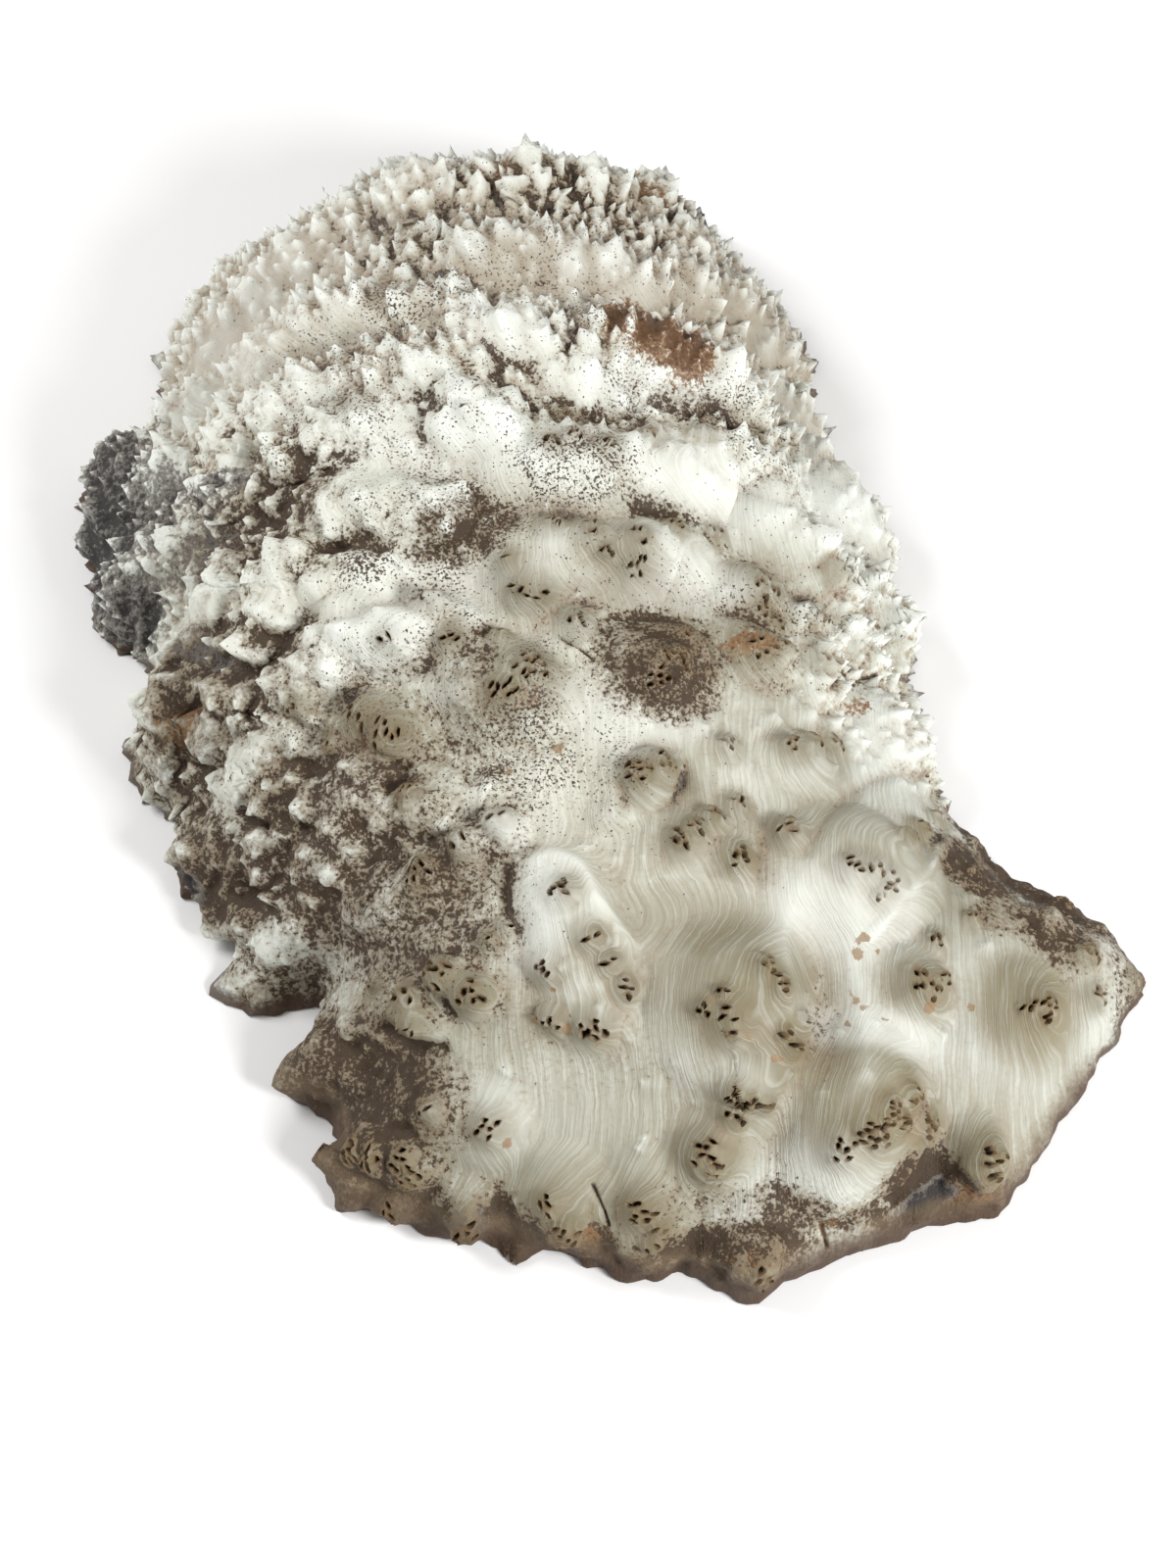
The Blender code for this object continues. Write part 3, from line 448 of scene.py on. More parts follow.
class Skin:
    """The cap's upper surface as a grid of points, raised step by step."""

    def __init__(self, count):
        plan, reach = plan_grid(count)
        coarse, _ = plan_grid(COARSE_COUNT)
        inward = stretch(soften(rim_distance(coarse), 3), count)
        inward = np.clip(inward, 0, None) * (1 - np.clip((reach - 0.985) / 0.015, 0, 1))
        x, y = plan[..., 0], plan[..., 1]
        tall = EDGE_THICKNESS + DOME_HEIGHT * swell(x, y, DOME_TOP, DOME_REACH)
        tall += FOOT_HEIGHT * swell(x, y, FOOT_TOP, FOOT_REACH)
        near_rim = np.clip(1 - inward / RIM_WIDTH, 0, 1)
        height = tall * np.clip(1 - near_rim**RIM_POWER, 0, 1) ** (1 / WALL_POWER)
        self.inward = inward
        self.fade = np.clip(height / FADE_HEIGHT, 0, 1)
        self.settle(np.dstack([plan, height]))
        self.smooth_normals = self.normals
        self.first = self.points

    def settle(self, points):
        self.points = points
        self.normals = normals(points)
        self.views = {}

    def raise_by(self, height, way):
        """Moves the skin; at the sawn edge it moves only sideways, so the back stays flat."""
        move = height[..., None] * way
        move[..., 2] *= self.fade
        self.settle(self.points + move)

    def spot(self, across, down, lift):
        """The grid place that shows at a point of the view once it is lifted."""
        if lift not in self.views:
            self.views[lift] = seen(self.points + lift * self.normals)
        view_x, view_y, depth = self.views[lift]
        cost = (view_x - across) ** 2 + (view_y - down) ** 2 + DEPTH_SHARE * depth
        return np.unravel_index(np.argmin(cost), cost.shape)

    def around(self, at, radius):
        """The part of the grid within a radius of a place, and its offsets in the surface's own axes."""
        count = self.points.shape[0]
        i, j = (min(max(k, 1), count - 2) for k in at)
        a = (self.points[i + 1, j] - self.points[i - 1, j]) / 2
        b = (self.points[i, j + 1] - self.points[i, j - 1]) / 2
        cell = np.linalg.norm(np.cross(a, b)) + 1e-4
        rows = int(min(1.3 * radius * np.linalg.norm(b) / cell, count / 3)) + 3
        columns = int(min(1.3 * radius * np.linalg.norm(a) / cell, count / 3)) + 3
        part = (
            slice(max(at[0] - rows, 0), at[0] + rows + 1),
            slice(max(at[1] - columns, 0), at[1] + columns + 1),
        )
        normal = self.normals[at]
        side = np.array([1.0, 0.0, 0.0]) - normal[0] * normal
        side /= np.linalg.norm(side) + 1e-9
        offset = self.points[part] - self.points[at]
        return part, offset @ side, offset @ np.cross(normal, side), offset @ normal


def turned_off(u, v, wide, long, turn):
    """How far out offsets lie in an oval turned by an angle, squared."""
    cosine, sine = math.cos(turn), math.sin(turn)
    along = (u * cosine + v * sine) / wide
    beside = (v * cosine - u * sine) / long
    return along**2 + beside**2


def ovals(skin, table, lifted, spread, thickness):
    """For each oval of a table, the grid near it, how far out that lies, squared, and the oval's strength."""
    for across, down, wide, long, strength, *turned in table:
        reach = max(wide, long)
        at = skin.spot(across, down, strength if lifted else 0)
        part, u, v, w = skin.around(at, spread * reach)
        turn = math.radians(turned[0]) if turned else 0.0
        yield part, turned_off(u, v, wide, long, turn) + (w / (thickness * reach)) ** 2, strength


def lump_heights(skin):
    height = np.zeros(skin.fade.shape)
    for part, off, tall in ovals(skin, LUMPS, True, 1.0, 1.2):
        height[part] += tall * np.clip(1 - off, 0, 1) ** LUMP_POWER
    return height * LUMP_SHARE


def outward(skin):
    """Level directions away from the middle of the cap."""
    out = skin.points - np.array([*LEAN_FROM, 0.0])
    out[..., 2] = 0
    return out / (np.linalg.norm(out, axis=2, keepdims=True) + 1e-9)


def spikiness(skin):
    """How spiky the skin is: the far shoulder and both flanks, most on the outer brows of lumps."""
    x, y = skin.points[..., 0], skin.points[..., 1]
    far = ease(y, 75, 150)
    right = ease(x, 68, 108) * ease(y, -25, 5)
    left = ease(-x, 85, 135) * (0.35 * ease(y, -120, -60) + 0.45 * ease(y, 30, 100))
    zone = np.maximum(np.maximum(far, right), left)
    tilt = ((skin.normals - skin.smooth_normals) * outward(skin)).sum(axis=2)
    smooth_share = SMOOTH_SHARE * (1 - ease(y, 190, 260))
    return zone * (1 - smooth_share * ease(-tilt, -0.1, 0.3))


def scattered(skin, wanted, spacing, tries, rng):
    """Shares of the grid where spikes stand, evenly spaced over the surface."""
    points = skin.points
    cells = np.linalg.norm(np.cross(np.gradient(points, axis=0), np.gradient(points, axis=1)), axis=2)
    weight = (cells * wanted).ravel()
    picks = rng.choice(weight.size, size=tries, p=weight / weight.sum())
    flat = points.reshape(-1, 3)
    kept = []
    for pick in picks:
        if not kept or np.linalg.norm(flat[kept] - flat[pick], axis=1).min() > spacing:
            kept.append(pick)
    rows, columns = np.unravel_index(kept, cells.shape)
    return np.column_stack([rows, columns]) / (points.shape[0] - 1)


def spike_heights(skin, places, wanted, rng, size, length):
    """Spikes like small flames: steep on the upper and outer side, with a long skirt below."""
    height = np.zeros(skin.fade.shape)
    last = skin.points.shape[0] - 1
    out = outward(skin)
    for place in places:
        at = tuple(np.round(place * last).astype(int))
        radius = size * rng.uniform(0.7, 1.3)
        tall = length * rng.uniform(0.5, 1.3) * (0.35 + 0.65 * wanted[at])
        way = out[at] + UPWARD + rng.uniform(-0.35, 0.35, 3)
        way -= (way @ skin.normals[at]) * skin.normals[at]
        way /= np.linalg.norm(way) + 1e-9
        part, _, _, w = skin.around(at, SKIRT * radius)
        offset = skin.points[part] - skin.points[at]
        along = offset @ way
        along = np.where(along > 0, along / STEEP_SHARE, along / SKIRT)
        beside = offset @ np.cross(skin.normals[at], way)
        off = np.sqrt(along**2 + beside**2 + (w / SKIRT) ** 2) / radius
        height[part] += tall * np.clip(1 - off, 0, 1) ** SPIKE_POWER
    return height


def leaning(skin, wanted):
    """The way relief is raised: along the normal, leaning outward where the skin is spiky."""
    way = skin.normals + LEAN * wanted[..., None] * outward(skin)
    return way / np.linalg.norm(way, axis=2, keepdims=True)


def lumpy_skin(count):
    skin = Skin(count)
    skin.raise_by(lump_heights(skin), skin.normals)
    return skin


def sown(points, size, seed):
    """Smooth seeded noise from -1 to 1 with lumps about size across."""
    table = np.random.default_rng(seed).uniform(-1, 1, 65536)
    place = points / size
    low = np.floor(place).astype(np.int64)
    part = place - low
    part = part * part * (3 - 2 * part)
    total = np.zeros(points.shape[:-1])
    for corner in np.ndindex(2, 2, 2):
        key = low + np.array(corner)
        mixed = (key[..., 0] * 73856093) ^ (key[..., 1] * 19349663) ^ (key[..., 2] * 83492791)
        share = np.prod(np.where(np.array(corner), part, 1 - part), axis=-1)
        total += share * table[mixed & 65535]
    return total


def waves(points, sizes, share, seeds):
    """Coarse noise with a share of finer noise over it."""
    return sown(points, sizes[0], seeds[0]) + share * sown(points, sizes[1], seeds[1])


def layered(points, size, seed):
    """Smooth noise from about 0 to 1: three layers, each half as coarse and half as strong as the last."""
    layers = [sown(points, size / 2**turn, seed + turn) / 2**turn for turn in range(3)]
    return 0.5 + CLOUD_SHARE * sum(layers)


def patches(skin, table):
    """Soft ovals laid on the skin, each as strong as its table says."""
    field = np.zeros(skin.fade.shape)
    for part, off, strength in ovals(skin, table, False, 1.3, 1.5):
        field[part] = np.maximum(field[part], strength * (1 - ease(np.sqrt(off), 0.45, 1.3)))
    return field


def course_heights(skin, table):
    """Ridges and grooves along drawn courses: each has its height, half width and places in the view."""
    height = np.zeros(skin.fade.shape)
    for tall, width, course in table:
        places = [skin.points[skin.spot(across, down, 0)] for across, down in course]
        reach = 2.2 * width
        for start, end in zip(places[:-1], places[1:]):
            box = (np.minimum(start, end) - reach, np.maximum(start, end) + reach)
            near = ((skin.points > box[0]) & (skin.points < box[1])).all(axis=2)
            offset = skin.points[near] - start
            run = end - start
            share = np.clip(offset @ run / (run @ run), 0, 1)
            gap = np.linalg.norm(offset - share[:, None] * run, axis=1)
            shape = tall * np.exp(-((gap / width) ** 2) * 2)
            old = height[near]
            height[near] = np.where(np.abs(shape) > np.abs(old), shape, old)
    return height


def eye_relief(skin, rng):
    """The bud eyes: knobs, small mounds with a slit pinhole each, and how close each point is to an eye."""
    knob = np.zeros(skin.fade.shape)
    mound = np.zeros(skin.fade.shape)
    pinhole = np.zeros(skin.fade.shape)
    halo = np.zeros(skin.fade.shape)
    for across, down, radius, tall, holes in EYES:
        at = skin.spot(across, down, 0)
        part, u, v, w = skin.around(at, HALO_SPREAD * radius)
        gap = np.sqrt(u**2 + v**2 + w**2)
        off = (gap / (KNOB_SPREAD * radius)) ** 2
        knob[part] = np.maximum(knob[part], tall * np.clip(1 - off, 0, 1) ** KNOB_POWER)
        halo[part] = np.maximum(halo[part], 1 - ease(gap, 0.4 * radius, HALO_SPREAD * radius))
        lie_together = rng.uniform(0, math.pi)
        for number in range(holes):
            turn = PINHOLE_TURN * number + rng.uniform(0, 1.3)
            out = HOLE_SHARE * radius * math.sqrt((number + 0.3) / holes)
            beside_u = u - out * math.cos(turn)
            beside_v = v - out * math.sin(turn)
            lie = lie_together + rng.uniform(-0.5, 0.5)
            long, wide = rng.uniform(*PINHOLE_LONG), rng.uniform(*PINHOLE_WIDE)
            around = (beside_u**2 + beside_v**2 + w**2) / MOUND_RADIUS**2
            mound[part] = np.maximum(mound[part], MOUND_HEIGHT * np.clip(1 - around, 0, 1) ** MOUND_POWER)
            off = turned_off(beside_u, beside_v, long, wide, lie) + (w / 8) ** 2
            pinhole[part] = np.maximum(pinhole[part], np.clip(1 - np.sqrt(off) / RING_REACH, 0, 1))
    return knob, mound, pinhole, halo


def spur_heights(skin):
    """Pointed spurs along the left edge."""
    height = np.zeros(skin.fade.shape)
    for across, down, radius, tall in SPURS:
        at = skin.spot(across, down, 0)
        part, u, v, w = skin.around(at, radius)
        off = np.sqrt(u**2 + v**2 + w**2) / radius
        height[part] = np.maximum(height[part], tall * np.clip(1 - off, 0, 1) ** SPUR_POWER)
    return height


def left_stains(skin, grime):
    """How stained the left side of the cap is, where the skin stands in rough crests."""
    x, y = skin.points[..., 0], skin.points[..., 1]
    return np.clip(grime, 0, 1) * ease(-x, 10, 70) * ease(y, -85, -45)


def stands_out(skin, step, times):
    """How far the skin stands above its own wide average."""
    count = skin.fade.shape[0]
    sides = [stretch(soften(skin.points[::step, ::step, axis], times), count) for axis in range(3)]
    return ((skin.points - np.dstack(sides)) * skin.smooth_normals).sum(axis=2)


def spiky_relief(skin, wanted, stained, rng):
    """Worn spikes and thorns where they are wanted, and crests where the left side is stained."""
    rough = lumpy_skin(SCATTER_COUNT)
    spiky = spikiness(rough)
    grimy = left_stains(rough, patches(rough, GRIME))
    kinds = [
        (spiky, wanted, WORN_SPACING, WORN_TRIES, WORN_RADIUS, WORN_HEIGHT),
        (spiky + STRAY_THORNS, wanted, THORN_SPACING, THORN_TRIES, THORN_RADIUS, THORN_HEIGHT),
        (grimy + STRAY_CRESTS, stained, CREST_SPACING, CREST_TRIES, CREST_RADIUS, CREST_HEIGHT),
    ]
    smooth = skin.points
    crooked = [waves(smooth, (7.0, 3.0), 0.5, (20 + axis, 30 + axis)) for axis in range(3)]
    skin.points = smooth + CROOKEDNESS * np.dstack(crooked)
    tall = np.zeros(skin.fade.shape)
    for where, share, spacing, tries, size, length in kinds:
        places = scattered(rough, where, spacing, tries, rng)
        tall += spike_heights(skin, places, share, rng, size, length)
    skin.points = smooth
    return tall


def fine_relief(skin, fields, wanted):
    """Brows, grit and swells, with small knobs on the charred and the grimy wood."""
    points = skin.points
    rough = np.clip(wanted + fields["char"] + 0.6 * fields["grime"], 0, 1)
    grit = waves(points, (4.0, 2.0), 0.5, (3, 4))
    brows = 1 - np.abs(sown(points, 5.5, 9)) * 2
    fine = rough * ROUGHENING * (brows - np.abs(grit)) + SWELL * sown(points, 18.0, 5) + 0.15 * grit
    fine += fields["char"] * CHAR_KNOBS * np.clip(sown(points, 6.0, 8), 0, 1)
    knobbly = np.clip(sown(points, 11.0, 10), 0, 1) + 0.6 * np.clip(sown(points, 6.0, 12), 0, 1)
    fine += np.clip(fields["grime"], 0, 1) * GRIME_KNOBS * knobbly
    return fine


def grain_fields(skin, knob, folds):
    """Places across and along the grain, which bends round the relief, and slow changes of tone."""
    points = skin.points
    lump = ((points - skin.first) * skin.smooth_normals).sum(axis=2)
    ripple = 0.9 * sown(points, 13.0, 16) + 0.35 * sown(points, 4.0, 17)
    return {
        "grain": points[..., 0] + GRAIN_BEND * (lump + knob + folds) + 3 * sown(points, 40.0, 6) + ripple,
        "along": points[..., 1] + 4 * sown(points, 55.0, 7),
        "cloud": layered(points, 17.0, 18),
        "broad": layered(points, 60.0, 21),
        "low_rim": (1 - ease(skin.inward, 0, 12)) * ease(-points[..., 1], 95, 150),
    }


def grown_skin(count):
    """The finished skin and the fields that colour it."""
    rng = np.random.default_rng(SEED)
    skin = lumpy_skin(count)
    fields = {name: patches(skin, table) for name, table in ZONES.items()}
    wanted = spikiness(skin) * (1 - PALE_CALM * np.clip(fields["pale"], 0, 1))
    stained = left_stains(skin, fields["grime"])
    tall = spiky_relief(skin, wanted, stained, rng)
    knob, mound, pinhole, halo = eye_relief(skin, rng)
    spurs = spur_heights(skin)
    folds = course_heights(skin, FOLDS)
    cracks = course_heights(skin, CRACKS)
    fields |= grain_fields(skin, knob, folds)
    fields |= {"halo": halo, "spiky": wanted, "pinhole": pinhole, "crack": np.clip(-cracks / 2, 0, 1)}
    relief = tall + knob + mound + folds + cracks + fine_relief(skin, fields, wanted)
    ragged = waves(skin.points, (12.0, 5.0), 0.6, (14, 15))
    depth = PINHOLE_DEPTH * np.clip((pinhole - RING_SHARE) / 0.3, 0, 1)
    skin.raise_by(relief + spurs - depth, leaning(skin, np.clip(wanted + stained + spurs / 4, 0, 1)))
    torn = RAGGEDNESS * np.clip(ragged + 0.4, -0.3, None) * (1 - ease(skin.inward, 0, 9))
    level = skin.smooth_normals * np.array([1, 1, 0])
    skin.settle(skin.points + torn[..., None] * level)
    # Crest, brow and swelling measure how far the skin stands out; the wood material paints highlights on the
    # high parts and shade on the low parts from them.
    fields["crest"] = np.clip(0.5 + 0.28 * (relief - soften(relief, round(count / 50))), 0, 1)
    fields["brow"] = np.clip(0.5 + 0.16 * stands_out(skin, 4, 10), 0, 1)
    fields["swelling"] = np.clip(0.5 + 0.07 * stands_out(skin, 8, 12), 0, 1)
    fields["height"] = skin.points[..., 2]
    return skin, fields


def outline_of(grid):
    """A grid's outermost entries in a row, all the way round."""
    return np.concatenate([grid[:-1, 0], grid[-1, :-1], grid[:0:-1, -1], grid[0, :0:-1]])


def squares_of(grid):
    """The four corners of each square of a grid."""
    sides = (grid[:-1, :-1], grid[1:, :-1], grid[1:, 1:], grid[:-1, 1:])
    return np.column_stack([side.ravel() for side in sides])


def fan_between(outer, inner, step):
    """Triangles that join an outer row of corners to an inner row with step times fewer."""
    outer = np.append(outer, outer[0])
    fan = []
    for place in range(len(inner)):
        near, far = inner[place], inner[(place + 1) % len(inner)]
        first = place * step
        half = first + step // 2
        for k in range(first, first + step):
            fan.append((outer[k + 1], outer[k], near if k < half else far))
        fan.append((outer[half], near, far))
    return np.array(fan)


def closed_mesh(name, skin, fields):
    """The skin and, inside the same rim, the flat sawn back, with the fields as attributes."""
    step = BACK_STEP
    back_plan = skin.first[::step, ::step].copy()
    back_plan[..., :2] = HEART + BACK_SHRINK * (back_plan[..., :2] - HEART)
    back_plan[..., 2] = 0
    count, small = skin.points.shape[0], back_plan.shape[0]
    ids = np.arange(count * count).reshape(count, count)
    back_ids = count * count + np.arange(small * small).reshape(small, small)
    skin_squares = squares_of(ids)
    back_squares = squares_of(back_ids)[:, ::-1]
    fan = fan_between(outline_of(ids), outline_of(back_ids), step)
    corners = np.concatenate([skin_squares.ravel(), back_squares.ravel(), fan.ravel()])
    sizes = np.repeat([4, 3], [len(skin_squares) + len(back_squares), len(fan)])
    places = np.vstack([skin.points.reshape(-1, 3), back_plan.reshape(-1, 3)])
    places[:, :2] -= BOX_MIDDLE
    mesh = bpy.data.meshes.new(name)
    mesh.vertices.add(len(places))
    mesh.vertices.foreach_set("co", (places * MM).astype(np.float32).ravel())
    mesh.loops.add(len(corners))
    mesh.loops.foreach_set("vertex_index", corners.astype(np.int32))
    mesh.polygons.add(len(sizes))
    mesh.polygons.foreach_set("loop_start", (np.cumsum(sizes) - sizes).astype(np.int32))
    slots = np.ones(len(sizes), np.int32)
    slots[:len(skin_squares)] = 0
    mesh.polygons.foreach_set("material_index", slots)
    mesh.update(calc_edges=True)
    for field, values in fields.items():
        layer = mesh.attributes.new(field, "FLOAT", "POINT")
        whole = np.concatenate([values.ravel(), values[::step, ::step].ravel()])
        layer.data.foreach_set("value", whole.astype(np.float32))
    return mesh


def thinned(name, mesh, triangles):
    """The mesh with its flat stretches thinned out and its details kept."""
    dense = bpy.data.objects.new("dense", mesh)
    bpy.context.scene.collection.objects.link(dense)
    mesh.calc_loop_triangles()
    thin = dense.modifiers.new("thin", "DECIMATE")
    thin.ratio = triangles / len(mesh.loop_triangles)
    thin.use_collapse_triangulate = True
    state = bpy.context.evaluated_depsgraph_get()
    kept = bpy.data.meshes.new_from_object(dense.evaluated_get(state))
    kept.name = name
    bpy.data.objects.remove(dense, do_unlink=True)
    bpy.data.meshes.remove(mesh)
    for corner in kept.vertices:
        if corner.co.z < BACK_SNAP * MM:
            corner.co.z = 0.0
    return kept


class Value:
    """A socket in a material: sums written on it add Math nodes to the material's tree."""

    def __init__(self, tree, socket):
        self.tree = tree
        self.socket = socket

    def node(self, kind, settings=None, sockets=None, output=0, stops=None):
        """Adds any node: first its settings and ramp stops, then its sockets by name or place."""
        made = self.tree.nodes.new(kind)
        for name, setting in (settings or {}).items():
            setattr(made, name, setting)
        if stops:
            ramp = made.color_ramp.elements
            while len(ramp) < len(stops):
                ramp.new(1.0)
            for mark, (place, colour) in zip(ramp, stops):
                mark.position = place
                mark.color = (*colour, 1.0)
        for name, value in (sockets or {}).items():
            if isinstance(value, Value):
                self.tree.links.new(value.socket, made.inputs[name])
            else:
                made.inputs[name].default_value = value
        return Value(self.tree, made.outputs[output])

    def maths(self, operation, *values):
        return self.node("ShaderNodeMath", {"operation": operation}, dict(enumerate(values)))

    def __add__(self, other):
        return self.maths("ADD", self, other)

    def __radd__(self, other):
        return self.maths("ADD", other, self)

    def __sub__(self, other):
        return self.maths("SUBTRACT", self, other)

    def __rsub__(self, other):
        return self.maths("SUBTRACT", other, self)

    def __mul__(self, other):
        return self.maths("MULTIPLY", self, other)

    def __rmul__(self, other):
        return self.maths("MULTIPLY", other, self)

    def eased(self, low, high):
        """0 below low, 1 above high, with a soft rise between them."""
        settings = {"interpolation_type": "SMOOTHSTEP", "clamp": True}
        return self.node("ShaderNodeMapRange", settings, {0: self, 1: low, 2: high, 3: 0.0, 4: 1.0})

    def clamped(self):
        return self.maths("MINIMUM", self.maths("MAXIMUM", self, 0.0), 1.0)

    def mixed(self, other, share, blend="MIX"):
        """This colour with some of another laid over it."""
        colour = other if isinstance(other, Value) else (*other, 1.0)
        settings = {"data_type": "RGBA", "blend_type": blend}
        return self.node("ShaderNodeMix", settings, {0: share, 6: self, 7: colour}, 2)


def new_material(name, roughness, coat):
    material = bpy.data.materials.new(name)
    material.use_nodes = True
    tree = material.node_tree
    shader = tree.nodes["Principled BSDF"]
    shader.inputs["Roughness"].default_value = roughness
    shader.inputs["Specular IOR Level"].default_value = coat
    return material, tree, shader


def field(tree, name):
    start = Value(tree, None)
    return start.node("ShaderNodeAttribute", {"attribute_name": name}, output="Fac")


def noise(place, scale, detail=2.0, rough=0.5, output="Fac"):
    """Noise from 0 to 1; scale counts its lumps in a metre."""
    sockets = {"Vector": place, "Scale": scale, "Detail": detail, "Roughness": rough}
    return place.node("ShaderNodeTexNoise", {"noise_dimensions": "3D"}, sockets, output)


def joined(x, y, z):
    """One place from three values."""
    return x.node("ShaderNodeCombineXYZ", sockets={0: x, 1: y, 2: z})


def nudged(place, push, reach):
    """A place moved by a noise of colours, by reach at most."""
    sockets = {0: push, 1: (reach, reach, reach), 2: place}
    return place.node("ShaderNodeVectorMath", {"operation": "MULTIPLY_ADD"}, sockets)


def two_tone(share, low, high):
    """The ground colour of a wood: low where share is 0 and high where it is 1."""
    sockets = {0: share, 6: (*low, 1.0), 7: (*high, 1.0)}
    return share.node("ShaderNodeMix", {"data_type": "RGBA"}, sockets, 2)


def dress(shader, colour, relief, strength, distance):
    """Gives a shader its colour and fine bumps."""
    sockets = {"Strength": strength, "Distance": distance, "Height": relief}
    bump = colour.node("ShaderNodeBump", sockets=sockets, output="Normal")
    colour.tree.links.new(colour.socket, shader.inputs["Base Color"])
    colour.tree.links.new(bump.socket, shader.inputs["Normal"])


def threshold(value, middle, softness):
    return value.eased(middle - softness, middle + softness)


def specks_at(place, scale, size, shown):
    """Ragged round specks, about scale to the metre; shown says how many of them there are, from 0 to 1."""
    sockets = {"Vector": place, "Scale": scale, "Randomness": 1.0}
    cell = place.node("ShaderNodeTexVoronoi", {"feature": "F1"}, sockets, "Distance")
    colour = Value(place.tree, cell.socket.node.outputs["Color"])
    chance = place.node("ShaderNodeSeparateColor", sockets={0: colour})
    spot = (size * (chance * 0.6 + 0.6) - cell).eased(0.0, 0.08)
    return spot * (shown - chance).eased(0.0, 0.04)


def burl_wood():
    """Pale sapwood with wavy grain, olive round the eyes, grime, pepper specks, rust, char and pinholes;
    painted shade in hollows, gaps, cracks and pinholes, and painted light on crests, brows, pale patches and
    the top of the dome.
    """
    material, tree, shader = new_material("burl wood", 0.6, 0.35)
    start = Value(tree, None)
    place = start.node("ShaderNodeTexCoord", output="Object")
    char, grime, rust, specks, tan, pale, flakes = (field(tree, name) for name in ZONES)
    halo, spiky, pinhole, crack, low_rim = (
        field(tree, name) for name in ("halo", "spiky", "pinhole", "crack", "low_rim")
    )
    crest, brow, swelling = (field(tree, name) for name in ("crest", "brow", "swelling"))
    grain, along, height = (field(tree, name) for name in ("grain", "along", "height"))
    broad, cloud = field(tree, "broad"), field(tree, "cloud")
    crumbs = noise(place, 520.0, 3.0, 0.65)
    dust = noise(place, 850.0, 2.0, 0.6)
    shift = nudged(place, noise(place, 900.0, 1.0, 0.5, "Color"), 0.0009)

    lines = noise(joined(grain * 0.95, along * 0.04, height * 0.03), 1.0, 2.0, 0.6)
    wide_lines = noise(joined(grain * 0.35, along * 0.04, height * 0.02), 1.0, 2.0, 0.5)
    calm = 1.0 - spiky * 0.45

    wood = two_tone(broad.eased(0.35, 0.65), CREAM, IVORY)
    # Painted light: the higher skin of the dome is painted paler and warmer, as if more light fell on it.
    wood = wood.mixed(WARM_PALE, height.eased(50.0, 85.0) * 0.7)
    # Painted shade: grey in the broad hollows between lumps, where the skin lies below its wide average.
    wood = wood.mixed(ASH, (0.56 - swelling).eased(0.0, 0.3) * (cloud * 0.6 + 0.3))
    wood = wood.mixed(HONEY, (tan * (broad * 0.6 + 0.8)).clamped() * 0.9)
    wood = wood.mixed(OLIVE, (halo * (cloud * 0.9 + 0.55)).clamped() * 0.85)
    wood = wood.mixed(ASH, threshold(wide_lines, 0.56, 0.12) * 0.16 * calm)
    line_share = 0.22 + halo * 0.25 + tan * 0.25
    wood = wood.mixed(LINE_TAN, threshold(1.0 - lines, 0.53, 0.09) * line_share * calm)
    wood = wood.mixed(PURE_PALE, threshold(lines, 0.6, 0.08) * 0.14 * calm)
    wood = wood.mixed(WARM_PALE, spiky * 0.5)
    coloured = (halo * 0.7 + tan * 0.6 + grime * 0.6).clamped()
    # Painted highlight: brows that stand out are painted near white, except on the halos, tan patches and
    # grime.
    lit = brow.eased(0.5, 0.85) * (cloud * 0.7 + 0.3) * (1.0 - coloured)
    wood = wood.mixed(PURE_PALE, lit)
    # Painted shade: low grows where the skin lies below its brows and crests. The masks below use it to
    # darken the gaps, to deepen grime, rust, char and the far tint in hollows, and to thin the pale patches
    # there.
    low = (0.5 - brow) * 1.1 + (0.5 - crest) * 1.0
    # The gaps between spikes are painted brown, then near black where deepest: partly their brown wood,
    # partly painted shade from low.
    gaps = low * 1.2 + (crumbs - 0.5) * (spiky * 1.4 + 0.8) + (cloud - 0.5) * 0.6
    wood = wood.mixed(GAP_BROWN, (gaps + spiky * 0.2).eased(-0.1, 0.5) * (spiky * 0.35 + 0.45))
    wood = wood.mixed(GAP_SHADE_DARK, (gaps + spiky * 0.1).eased(0.3, 0.7) * (spiky * 0.45 + 0.5))
    # Painted highlight: the tops of crests are painted near white, less on the coloured zones.
    wood = wood.mixed(PURE_PALE, crest.eased(0.6, 1.0) * (0.55 - coloured * 0.45))
    # Pale patches, partly pale wood and partly painted light on faces that stand bright, thinned in hollows
    # by low.
    wood = wood.mixed(PURE_PALE, (pale * (cloud + 0.3 - low * 0.6)).clamped() * 0.7)
    # A brown tint over the far side of the dome; the low term in its mask adds painted shade in the hollows
    # there.
    wood = wood.mixed(FAR_TINT, along.eased(110.0, 200.0) * (cloud * 1.6 - 0.1 + low * 0.8).clamped() * 0.85)

    # Grime washes and dark dirt: real stains where the grime patches lie, plus painted shade in hollows from
    # low.
    grime_and_shade = grime * 1.15 + (cloud - 0.5) * 0.6 + (crumbs - 0.5) * 1.4 + low * 0.9
    wood = wood.mixed(GRIME_AND_SHADE_WASH, grime_and_shade.eased(0.25, 1.0) * 0.9)
    dirt_and_shade = grime * 1.25 - 0.3 + (crumbs - 0.5) * 2.6 + (dust - 0.5) * 1.4 + (lines - 0.5) * 0.8 + low * 2.0
    wood = wood.mixed(GRIME_AND_SHADE_DARK, dirt_and_shade.eased(0.5, 0.85) * 0.97)
